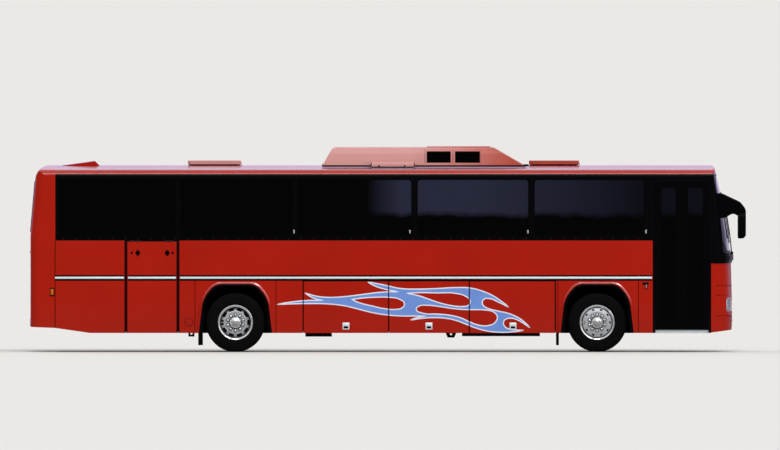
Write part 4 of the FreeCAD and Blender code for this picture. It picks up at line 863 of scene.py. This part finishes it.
def lick_curve(line_radius=0.0):
    """The licks as a filled flat curve, or as a line round their edges, standing in the XZ plane."""
    clear()
    bpy.ops.curve.primitive_bezier_circle_add()
    piece = bpy.context.active_object
    curve = piece.data
    curve.splines.clear()
    for line in (FLAME_EDGE, *FLAME_LOBES):
        spline = curve.splines.new("BEZIER")
        spline.bezier_points.add(len(line) - 1)
        for point, (x, z, *sharp) in zip(spline.bezier_points, line):
            point.co = (TAIL + x / 1000, z / 1000, 0)
            point.handle_left_type = point.handle_right_type = "VECTOR" if sharp else "AUTO"
        spline.use_cyclic_u = True
        spline.resolution_u = 6
    if line_radius:
        curve.dimensions = "3D"
        curve.bevel_depth = line_radius
        curve.bevel_resolution = 1
    else:
        curve.dimensions = "2D"
        curve.fill_mode = "BOTH"
        curve.extrude = 0.0005
    hold(piece)
    bpy.ops.object.convert(target="MESH")
    piece = bpy.context.active_object
    piece.data.transform(Matrix.Rotation(math.pi / 2, 4, "X"))
    if line_radius:
        piece.data.transform(Matrix.Diagonal((1, 0.0009 / line_radius, 1, 1)))
    return piece


def sliced(piece, x0, x1):
    """A copy of a piece, cut off at two places along the coach."""
    part = hold(moved(piece))
    bpy.ops.object.mode_set(mode="EDIT")
    for x, flags in ((x0, {"clear_inner": True}), (x1, {"clear_outer": True})):
        bpy.ops.mesh.select_all(action="SELECT")
        bpy.ops.mesh.bisect(plane_co=(TAIL + x, 0, 0), plane_no=(1, 0, 0), use_fill=True, **flags)
    clear()
    return part


class COACH_OT_flames(Operator):
    """Painted licks along the skirt, split where the luggage doors part"""

    bl_idname = "coach.flames"
    bl_label = "Flame pattern"

    def execute(self, context):
        width = context.scene.coach_sizes.stripe_width
        spans = [(4.20, 4.661, "panel")] + [(x0 + 0.003, x1 - 0.003, end) for x0, x1, end in DOOR_SPANS]
        for kind, radius in (("flame", 0), ("pinstripe", width / 2)):
            whole = lick_curve(radius)
            for x0, x1, end in spans:
                part = sliced(whole, x0, x1)
                near = moved(part, y=-SIDE - 0.0008)
                discard(part)
                for shown, (_, name) in zip((near, mirrored(near)), SIDES):
                    body = "coach_body" if end == "panel" else f"luggage_door_{name}_{end}"
                    finish(shown, f"{kind}_{name}_{end}", f"{kind}_enamel", body)
            discard(whole)
        return {"FINISHED"}


# Wheels


def tyre_profile(depth):
    """The section of a tyre as (radius, y): beads, ribbed walls, rounded shoulders and grooved crown."""
    crown, groove = HUB, HUB - depth
    half = [(0.292, 0.118), (0.300, 0.127), (0.318, 0.130), (0.322, 0.134), (0.336, 0.1375), (0.340, 0.1365),
            (0.398, 0.1398), (0.430, 0.1396), (0.434, 0.1382), (0.458, 0.1370), (0.476, 0.1320),
            (0.488, 0.1270), (0.498, 0.1210), (0.5035, 0.1130), (crown, 0.1060), (crown, 0.0740),
            (groove, 0.0715), (groove, 0.0645), (crown, 0.0620), (crown, 0.0290), (groove, 0.0265),
            (groove, 0.0195), (crown, 0.0170)]
    return half + [(r, -y) for r, y in reversed(half)]


def tyre_piece(depth):
    """One tyre about the origin, with notches cut across its shoulders."""
    steps = 108
    piece = hold(turned(tyre_profile(depth), (0, 0, 0), steps=steps))
    bpy.ops.object.mode_set(mode="EDIT")
    bpy.ops.mesh.select_mode(type="FACE")
    bpy.ops.mesh.select_all(action="DESELECT")
    bpy.ops.object.mode_set(mode="OBJECT")
    for face in piece.data.polygons:
        x, y, z = face.center
        turn = math.atan2(z, x) / (2 * math.pi) * steps
        shoulder = math.hypot(x, z) > 0.4985 and abs(y) > 0.076
        face.select = shoulder and math.floor(turn) % 3 == 0
    bpy.ops.object.mode_set(mode="EDIT")
    bpy.ops.mesh.inset(thickness=0.003, depth=-depth * 0.7)
    bpy.ops.mesh.select_mode(type="VERT")
    clear()
    return piece


class COACH_OT_tyres(Operator):
    """Tyres with ribbed walls, grooved crowns and notched shoulders"""

    bl_idname = "coach.tyres"
    bl_label = "Tyres"

    def execute(self, context):
        one = tyre_piece(context.scene.coach_sizes.groove_depth)
        for side, name in SIDES:
            for axle, places, tyre, wheel in ((FRONT_AXLE, (1.070,), "front_tyre", "front_wheel"),
                                              (REAR_AXLE, (1.110, 0.775), "rear_tyres", "rear_wheels")):
                made = joined([moved(one, axle, side * y, HUB) for y in places])
                finish(made, f"grooved_{tyre}_{name}", "vulcanised_rubber", f"{wheel}_{name}")
                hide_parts(f"{tyre}_{name}")
        discard(one)
        return {"FINISHED"}


def ring_of(piece, count, start=0.0):
    """Copies of a piece turned round the Y axis."""
    return [copied(piece, Matrix.Rotation(start + 2 * math.pi * i / count, 4, "Y")) for i in range(count)]


class COACH_OT_housing_aprons(Operator):
    """Dark rubber aprons along the feet of the wheel housings, which paint the shade under the coach, and the
    mudflaps' outer returns
    """

    bl_idname = "coach.housing_aprons"
    bl_label = "Housing aprons"

    def execute(self, context):
        made = []
        thick = 0.0076
        # The aprons are dark sheets that paint the shade seen under the coach
        for axle in (REAR_AXLE, FRONT_AXLE):
            for x0, x1 in ((-0.612, -0.19), (0.19, 0.612)):
                made += [block((axle + x0, y, 0.318), (axle + x1, y + thick, 0.380), 0.002)
                         for y in (0.5742, -0.5742 - thick)]
        # The flaps' outer edges are folded along the coach, which makes them look thick from the side
        for x0, x1, head in ((REAR_AXLE - 0.636, REAR_AXLE - 0.556, 0.372),
                             (FRONT_AXLE - 0.704, FRONT_AXLE - 0.655, 0.345)):
            made += [block((x0, y, 0.117), (x1, y + 0.016, head), 0.004) for y in (1.214, -1.230)]
        finish(joined(made), "housing_aprons", "moulded_rubber")
        return {"FINISHED"}


class COACH_OT_wheel_trim(Operator):
    """Nut covers, eight-sided hub cap, valve, rolled lip and the painted shade in the depths of each wheel"""

    bl_idname = "coach.wheel_trim"
    bl_label = "Wheel trim"

    def execute(self, context):
        hub, shade, drum = self.hub()
        rim, well = self.rim()
        # How far out the disc's raised face and the rim's lip stand
        for axle, face, lip, word in ((FRONT_AXLE, 1.182, 1.202, "front_wheel"),
                                      (REAR_AXLE, 1.164, 1.242, "rear_wheels")):
            for side, name in SIDES:
                turn = Matrix.Identity(4) if side > 0 else Matrix.Rotation(math.pi, 4, "Z")
                # The shade, drum and well pieces are painted shade in the wheel's depths
                for piece, out, part, material in (
                    (hub, face, "trim", "chromed_steel"), (shade, face, "shade", "painted_shade_alloy"),
                    (drum, face, "drum", "painted_shade_alloy"), (rim, lip, "lip", "chromed_steel"),
                    (well, lip, "well", "painted_shade_alloy"),
                ):
                    spot = Matrix.Translation((axle, side * out, HUB)) @ turn
                    finish(copied(piece, spot), f"{word}_{part}_{name}", material, f"{word}_{name}")
        discard(hub, shade, drum, rim, well)
        return {"FINISHED"}

    def hub(self):
        """Nuts, cap and valve, the dark rings of painted shadow they sit in, and the drum behind the hand
        holes, dark as painted shade, drawn about the origin facing +Y with the disc's raised face at y 0."""
        circle, turn = (0.137, 0, 0), math.pi / 10
        nut = turned([(0.0235, 0.0), (0.0235, 0.006), (0.0200, 0.009), (0.0200, 0.034), (0.0165, 0.045),
                      (0.0095, 0.0525), (0, 0.055)], circle, steps=16)
        nuts = ring_of(nut, 10, turn)
        dome = turned([(0.1015, 0.0), (0.1015, 0.012), (0.099, 0.020), (0.090, 0.040), (0.078, 0.054),
                       (0.064, 0.064), (0.050, 0.068), (0, 0.069)], (0, 0, 0), steps=56)
        corners = [math.pi * (i + 0.5) / 4 for i in range(8)]
        cap = plate([(0.041 * math.cos(a), 0.06, 0.041 * math.sin(a)) for a in corners], (0, 0.022, 0), 0.004)
        valve = wire([(0.205, -0.02, 0), (0.222, 0.012, 0), (0.250, 0.030, 0)], 0.006)
        # Dark seats under the nuts and a dark ring round the dome: painted shadow
        seat = turned([(0.0315, 0.0), (0.0315, 0.0012), (0, 0.0016)], circle, steps=20)
        ring = turned([(0.1125, 0.0), (0.1125, 0.0014), (0.100, 0.0014), (0.100, 0.0)], (0, 0, 0), steps=40)
        shade = joined([*ring_of(seat, 10, turn), ring])
        discard(nut, seat)
        # The drum is dark as the painted shade seen through the hand holes
        drum = turned([(0.270, -0.049), (0.270, -0.060), (0.190, -0.060), (0.190, -0.049)], (0, 0, 0))
        return joined([*nuts, dome, cap, valve]), shade, drum

    def rim(self):
        """The rim's rolled lip and the slope down to its disc, dark as painted shade, with the lip's outer
        face at y 0.
        """
        rim = turned([(0.2975, -0.004), (0.2975, 0.003), (0.292, 0.0065), (0.284, 0.004), (0.277, -0.004),
                      (0.270, -0.012), (0.266, -0.016), (0.266, -0.022), (0.2745, -0.022), (0.2765, -0.012)],
                     (0, 0, 0), steps=72)
        # The dark slope paints the shade in the rim's well
        well = turned([(0.277, -0.018), (0.266, -0.022), (0.247, -0.036), (0.243, -0.045), (0.277, -0.045)],
                      (0, 0, 0), steps=64)
        return rim, well


# Ends and roof


class COACH_OT_windscreen(Operator):
    """Rubber round the windscreen and rear window, and the wipers"""

    bl_idname = "coach.windscreen"
    bl_label = "Windscreen"

    def execute(self, context):
        self.surround()
        self.wipers()
        return {"FINISHED"}

    def surround(self):
        """Rubber beads that follow the edges of the screen, round the nose, and of the rear window."""
        half, low, high, corner = 1.196, 1.718, 3.016, 0.15
        line = ((0, low), (half - corner, low), (half, low + corner), (half, high - corner),
                (half - corner, high), (0, high))
        spread = []
        for (y0, z0), (y1, z1) in zip(line[:-1], line[1:]):
            count = max(1, round(math.hypot(y1 - y0, z1 - z0) / 0.09))
            spread += [(y0 + (y1 - y0) * i / count, z0 + (z1 - z0) * i / count) for i in range(count)]
        spread.append(line[-1])
        loop = spread + [(-y, z) for y, z in reversed(spread[1:-1])]
        points = [(nose_x(y, z) - 0.002, y, z) for y, z in loop]
        finish(wire(points, 0.011, closed=True), "windscreen_rubber", "extruded_rubber")
        # The tail leans forward above z 2.0
        back = [(TAIL + 0.001 + max(0, z - 2.0) * 0.086, y, z) for y, z in (
            (-0.84, 2.052), (0, 2.052), (0.84, 2.052), (0.938, 2.15), (0.938, 2.47), (0.938, 2.80),
            (0.84, 2.898), (0, 2.898), (-0.84, 2.898), (-0.938, 2.80), (-0.938, 2.47), (-0.938, 2.15))]
        finish(wire(back, 0.011, closed=True), "rear_window_rubber", "extruded_rubber")

    def wipers(self):
        """Two pantograph wipers parked upright on the screen."""
        made = []
        lean, low, reach = 0.10, 1.68, 0.62
        for y in (-0.62, 0.46):
            foot = Vector((nose_x(y, 1.70) + 0.030, y, low))
            arm = [foot]
            for t in (0.25, 0.5, 0.75, 1.0):
                z = low + reach * t
                arm.append(Vector((nose_x(y + lean * t, max(z, 1.74)) + 0.035, y + lean * t, z)))
            made.append(wire(arm, 0.007))
            boss = [(0.024, -0.02), (0.024, 0.018), (0.015, 0.026), (0, 0.028)]
            made.append(turned(boss, foot, (1, 0, 0), 20))
            across = y + lean + 0.02
            blade = [Vector((nose_x(across, z) + 0.012, across, z))
                     for z in (1.86, 2.0, 2.15, 2.3, 2.45, 2.6, 2.72)]
            made.append(wire(blade, 0.006))
            made.append(wire([p + Vector((0.014, 0, 0)) for p in blade[1:-1]], 0.004))
        finish(joined(made), "wipers", "moulded_abs")


class COACH_OT_nose_joints(Operator):
    """Dark grooves where the nose's mouldings meet"""

    bl_idname = "coach.nose_joints"
    bl_label = "Nose joints"

    def execute(self, context):
        made = []
        proud, sunk = 0.0005, -0.012
        for z, inner in ((1.132, 0.0), (0.619, 0.0), (0.970, 1.125)):
            across = [y for y in (0.0, 0.3, 0.6, 0.8, 0.95, 1.05, 1.125, 1.17) if y >= inner]
            half = [(nose_x(y, z) + proud, y, z) for y in across]
            # Back along the side, to an end that dives under the paint
            for x in (11.95, 11.90, 11.84, 11.77, 11.73, 11.70):
                out = sunk if x == 11.70 else proud
                half.append((TAIL + x, self.side_y(TAIL + x, z) + out, z))
            other = [(x, -y, z) for x, y, _ in half]
            for line in ([list(reversed(other)) + half[1:]] if inner == 0 else [half, other]):
                made.append(wire(line, 0.005))
        finish(joined(made), "nose_grooves", "extruded_rubber")
        return {"FINISHED"}

    def side_y(self, x, z):
        """Where the nose's left face stands at a place along it and a height."""
        place = struck("front_mask", (x, 3, z), (0, -1, 0))
        if place is None:
            raise RuntimeError(f"no side at x {x}, z {z}")
        return place.y


class COACH_OT_unit_joints(Operator):
    """Seal under the roof unit, the joints between its mouldings and its covers' screws"""

    bl_idname = "coach.unit_joints"
    bl_label = "Roof unit joints"

    def execute(self, context):
        made = []
        for x in (6.746, 7.225, 7.687):
            # Up the unit's flank and over its shoulder
            places = [struck("roof_unit", (TAIL + x, -3, z), (0, 1, 0))
                      for z in (3.215, 3.26, 3.30, 3.34, 3.38, 3.42, 3.455)]
            made.append(wire([(p.x, p.y - 0.0005, p.z) for p in places if p is not None], 0.0035))
        made += [mirrored(piece) for piece in list(made)]
        for side in (-1, 1):
            seals = [(x0, x1, y, y + 0.007, z, z + 0.020) for x0, x1, y, z in (
                (4.985, 5.834, 0.951, 3.172), (6.556, 8.520, 0.951, 3.172), (5.834, 6.556, 1.086, 3.150))]
            seals += [(x - 0.006, x + 0.006, 0.955, 1.083, 3.165, 3.240) for x in (5.830, 6.562)]
            for x0, x1, inner, outer, z0, z1 in seals:
                y0, y1 = sorted((side * inner, side * outer))
                made.append(block((TAIL + x0, y0, z0), (TAIL + x1, y1, z1), 0.002))
            made += [turned([(0.014, 0), (0.014, side * 0.006), (0, side * 0.008)],
                            (TAIL + x, side * 1.085, 3.178), steps=16) for x in (5.96, 6.40)]
        finish(joined(made), "roof_unit_joints", "extruded_rubber")
        return {"FINISHED"}


class COACH_OT_lamps(Operator):
    """Reflectors and bezels of the head lamps, and blank number plates"""

    bl_idname = "coach.lamps"
    bl_label = "Lamps and plates"

    def execute(self, context):
        glass, middle = ("head_lamps",), 0.81  # the lamps' covers and the height of their middles
        bowls, bezels = [], []
        for side in (-1, 1):
            for y in (0.765, 0.985):
                x = nose_x(side * y, middle, glass) - 0.094
                bowls.append(turned([(0.0, 0.0), (0.045, 0.006), (0.085, 0.034), (0.092, 0.034),
                                     (0.048, -0.002), (0.0, -0.008)], (x, side * y, middle), (1, 0, 0), 32))
            edge = ((0.655, 0.705), (0.885, 0.705), (1.115, 0.705), (1.115, 0.81), (1.115, 0.915),
                    (0.885, 0.915), (0.655, 0.915), (0.655, 0.81))
            points = [(nose_x(side * y, z, glass) - 0.004, side * y, z) for y, z in edge]
            bezels.append(wire(points, 0.007, closed=True))
        finish(joined(bowls), "head_lamp_bowls", "chromed_steel")
        finish(joined(bezels), "head_lamp_bezels", "anodised_aluminium")
        x = nose_x(0, 0.52)
        front = block((x - 0.002, -0.26, 0.465), (x + 0.008, 0.26, 0.575), 0.004)
        back = block((TAIL - 0.008, -0.26, 0.445), (TAIL + 0.002, 0.26, 0.555), 0.004)
        finish(joined([front, back]), "number_plates", "pinstripe_enamel")
        return {"FINISHED"}


class COACH_OT_mirror_glass(Operator):
    """Silvered panes on the mirrors' rear faces"""

    bl_idname = "coach.mirror_glass"
    bl_label = "Mirror glass"

    def execute(self, context):
        x = TAIL + 12.095
        made = []
        for side in (-1, 1):
            y0, y1 = sorted((side * 1.140, side * 1.350))
            # The main pane, and the wide-angle one under it
            made += [block((x - 0.003, y0, z0), (x + 0.004, y1, z1), 0.003)
                     for z0, z1 in ((2.09, 2.345), (1.965, 2.070))]
        finish(joined(made), "mirror_glass", "silvered_glass")
        return {"FINISHED"}


class COACH_OT_step_edge(Operator):
    """Ribbed bright edge of the lowest step, and the entry door's handle"""

    bl_idname = "coach.step_edge"
    bl_label = "Step edge"

    def execute(self, context):
        nosing = block((TAIL + 10.685, -1.2295, 0.320), (TAIL + 11.596, -1.2240, 0.376), 0.002)
        rib = block((TAIL + 10.70, -1.2325, 0.330), (TAIL + 10.712, -1.2290, 0.366), 0.001, 1)
        ribs = modified(rib, "ARRAY", count=38, use_relative_offset=False, use_constant_offset=True,
                        constant_offset_displace=(0.0238, 0, 0))
        finish(joined([nosing, ribs]), "step_edge", "anodised_aluminium")
        bar = wire([(TAIL + 11.200, y, z) for y, z in ((-1.279, 1.22), (-1.284, 1.26), (-1.284, 1.42),
                                                       (-1.279, 1.46))], 0.007)
        finish(bar, "entry_door_handle", "moulded_abs", "entry_door_front")
        return {"FINISHED"}


# Interior


def cushion(low, high, crown, channels, face):
    """A crowned pad between two corners, its sides drawn in and its face, the one across the given
    axis, sewn into channels."""
    low, high = Vector(low), Vector(high)
    middle, size = (low + high) / 2, high - low
    clear()
    bpy.ops.mesh.primitive_cube_add(size=1, location=middle, scale=size)
    piece = edited(settled(bpy.context.active_object))
    bpy.ops.mesh.subdivide(number_cuts=7)
    clear()
    rounded(piece, min(size) * 0.22, 2, 50)
    wide, long = 1, 2 if face == 0 else 0
    for vertex in piece.data.vertices:
        p = vertex.co
        u = (p[wide] - middle[wide]) / (size[wide] / 2)
        v = (p[long] - middle[long]) / (size[long] / 2)
        top = (p[face] - low[face]) / size[face]
        swell = crown * (1 - u * u) * (1 - v * v) * top
        seam = crown * 0.30 * max(0, math.cos(u * math.pi * channels)) ** 8 * top * (abs(v) < 0.9)
        p[face] += swell - seam
        p[wide] -= u * abs(u) * 0.006 * (1 - v * v)
        vertex.co = p
    return piece


class COACH_OT_seats(Operator):
    """Seats with sewn cushions on moulded shells"""

    bl_idname = "coach.seats"
    bl_label = "Seats"

    def execute(self, context):
        floor = 1.290
        pad = self.pad(floor, context.scene.coach_sizes.seat_crown)
        shell = self.shell(floor)
        # Twelve rows at a pitch of 0.8, the last without its door-side pair, and the driver's seat
        spots = [(1.080 + 0.8 * row, side * y) for row in range(12) for side in (-1, 1)
                 if side > 0 or row < 11 for y in (0.475, 0.945)]
        spots.append((10.760, 0.64))
        pads = [moved(pad, TAIL + x, y) for x, y in spots]
        shells = [moved(shell, TAIL + x, y) for x, y in spots]
        cushions = finish(joined(pads), "seat_cushions", "wool_moquette")
        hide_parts("seats")
        finish(joined(shells), "seat_shells", "moulded_abs")
        discard(pad, shell)
        return {"FINISHED"}

    def pad(self, floor, crown):
        """One seat's cushion, and its back and head rest, which lean."""
        base = cushion((0.03, -0.222, floor + 0.315), (0.465, 0.222, floor + 0.412), crown, 3, 2)
        back = cushion((0.0, -0.218, floor + 0.42), (0.085, 0.218, floor + 1.02), crown, 3, 0)
        head = cushion((0.0, -0.15, floor + 1.00), (0.07, 0.15, floor + 1.125), crown, 1, 0)
        upright = joined([back, head])
        for vertex in upright.data.vertices:
            vertex.co.x += 0.015 - (vertex.co.z - floor - 0.42) * 0.214
        return joined([base, upright])

    def shell(self, floor):
        """One seat's moulded back shell on its pan and leg."""
        half = 0.225
        section = ((0.0, 0.36), (0.0, 0.42), (-0.148, 1.10), (-0.172, 1.10), (-0.03, 0.36))
        back = plate([(x, -half, floor + z) for x, z in section], (0, 2 * half, 0), 0.008)
        leg = block((0.13, -0.17, floor), (0.17, -0.13, floor + 0.33), 0.004)
        pan = block((0.05, -0.20, floor + 0.29), (0.44, 0.20, floor + 0.325), 0.008)
        return joined([back, joined([leg, pan])])


# Stage


class COACH_OT_studio(Operator):
    """Pale floor, soft lamps and the camera"""

    bl_idname = "coach.studio"
    bl_label = "Studio"

    def execute(self, context):
        self.floor()
        self.sky(context.scene)
        self.lamps()
        # A nearly level look at the door side from far off, with the frame's middle at this height
        away, height, tilt = 260, 2.172, math.radians(0.5)
        bpy.ops.object.camera_add(location=(0.036, -SIDE - away, height + away * math.tan(tilt)),
                                  rotation=(math.pi / 2 - tilt, 0, 0))
        camera = bpy.context.active_object
        camera.data.type = "ORTHO"
        camera.data.ortho_scale = 13.338
        camera.data.clip_end = 3000
        context.scene.camera = camera
        context.scene.view_settings.view_transform = "Standard"
        return {"FINISHED"}

    def floor(self):
        """A broad pale floor, which gloss sees darker so that the sills keep their shade."""
        clear()
        bpy.ops.mesh.primitive_plane_add(size=2400)
        floor = bpy.context.active_object
        floor.name = "studio_floor"
        tree, shader, _ = surface("studio_floor", Roughness=0.9, Specular_IOR_Level=0.1)
        gloss = add(tree, "LightPath").outputs["Is Glossy Ray"]
        feed(tree, shader, coats(tree, linear("#E2DFDA"), (gloss, linear("#4A453C"))))
        floor.data.materials.append(MATERIALS["studio_floor"])

    def sky(self, scene):
        """A soft grey sky that the camera, gloss and glass see as a pale backdrop."""
        world = bpy.data.worlds.new("studio")
        world.use_nodes = True
        tree = world.node_tree
        tree.nodes.clear()
        rays = add(tree, "LightPath").outputs
        seen = rays["Is Camera Ray"]
        for kind in ("Is Glossy Ray", "Is Transmission Ray"):
            seen = add(tree, "Math", (seen, rays[kind]), operation="MAXIMUM").outputs[0]
        soft = add(tree, "Background", (linear("#F4F6FA"), 0.62)).outputs[0]
        # The horizon behind the coach is a pale lilac, which the flat of the roof mirrors as a band
        way = add(tree, "SeparateXYZ", (add(tree, "TexCoord").outputs["Generated"],)).outputs
        rise = add(tree, "MapRange", (way["Z"], 0.12, 0.62)).outputs[0]
        behind = add(tree, "MapRange", (way["Y"], 0.3, 0.8)).outputs[0]
        mirrored_sky = coats(tree, linear("#4C525E"), (rise, linear("#FFFFFF")), (behind, linear("#DDD2FA")))
        tone = coats(tree, linear("#E6E4E0"), (rays["Is Glossy Ray"], mirrored_sky))
        pale = add(tree, "Background", (tone, 0.92)).outputs[0]
        mix = add(tree, "MixShader", (seen, soft, pale))
        add(tree, "OutputWorld", (mix.outputs[0],))
        scene.world = world

    def lamps(self):
        """A broad key from high before the door side, with three weaker ones round it, each with its
        strength, its softness in degrees and the way it shines."""
        for name, energy, angle, way in (
            ("key", 0.95, 16, (0, 1.0, -1.15)), ("side", 0.75, 16, (-0.55, 1.0, -1.0)),
            ("fill", 0.3, 30, (-1.0, 0.8, -0.6)), ("back", 0.5, 50, (0.3, -1.0, -0.8)),
        ):
            bpy.ops.object.light_add(type="SUN", location=(0, -20, 20))
            lamp = bpy.context.active_object
            lamp.name = name
            lamp.data.energy = energy
            lamp.data.angle = math.radians(angle)
            lamp.rotation_euler = Vector(way).to_track_quat("-Z", "Y").to_euler()


STEPS = (
    COACH_OT_materials, COACH_OT_dress, COACH_OT_studio, COACH_OT_waist_trim, COACH_OT_window_rail,
    COACH_OT_window_gaskets, COACH_OT_panel_joints, COACH_OT_hatch_seals, COACH_OT_latches,
    COACH_OT_flames, COACH_OT_tyres, COACH_OT_housing_aprons, COACH_OT_wheel_trim,
    COACH_OT_windscreen, COACH_OT_nose_joints, COACH_OT_unit_joints, COACH_OT_lamps,
    COACH_OT_mirror_glass, COACH_OT_step_edge, COACH_OT_seats,
)


class COACH_PT_panel(Panel):
    """The coach's values and steps"""

    bl_label = "Touring coach"
    bl_idname = "COACH_PT_panel"
    bl_space_type = "VIEW_3D"
    bl_region_type = "UI"
    bl_category = "Coach"

    def draw(self, context):
        for group in (context.scene.coach_colours, context.scene.coach_sizes):
            for name in group.__annotations__:
                self.layout.prop(group, name)
        for step in STEPS:
            self.layout.operator(step.bl_idname)


CLASSES = (CoachColours, CoachSizes, *STEPS, COACH_PT_panel)


def register():
    """Register the classes and hang the user's values on the scene."""
    for cls in CLASSES:
        bpy.utils.register_class(cls)
    bpy.types.Scene.coach_colours = PointerProperty(type=CoachColours)
    bpy.types.Scene.coach_sizes = PointerProperty(type=CoachSizes)


def unregister():
    """Take the values and the classes away again."""
    del bpy.types.Scene.coach_colours
    del bpy.types.Scene.coach_sizes
    for cls in reversed(CLASSES):
        bpy.utils.unregister_class(cls)


def main():
    """Run every step in order."""
    register()
    for step in STEPS:
        group, name = step.bl_idname.split(".")
        getattr(getattr(bpy.ops, group), name)()
    bpy.context.view_layer.update()


if __name__ == "__main__":
    main()
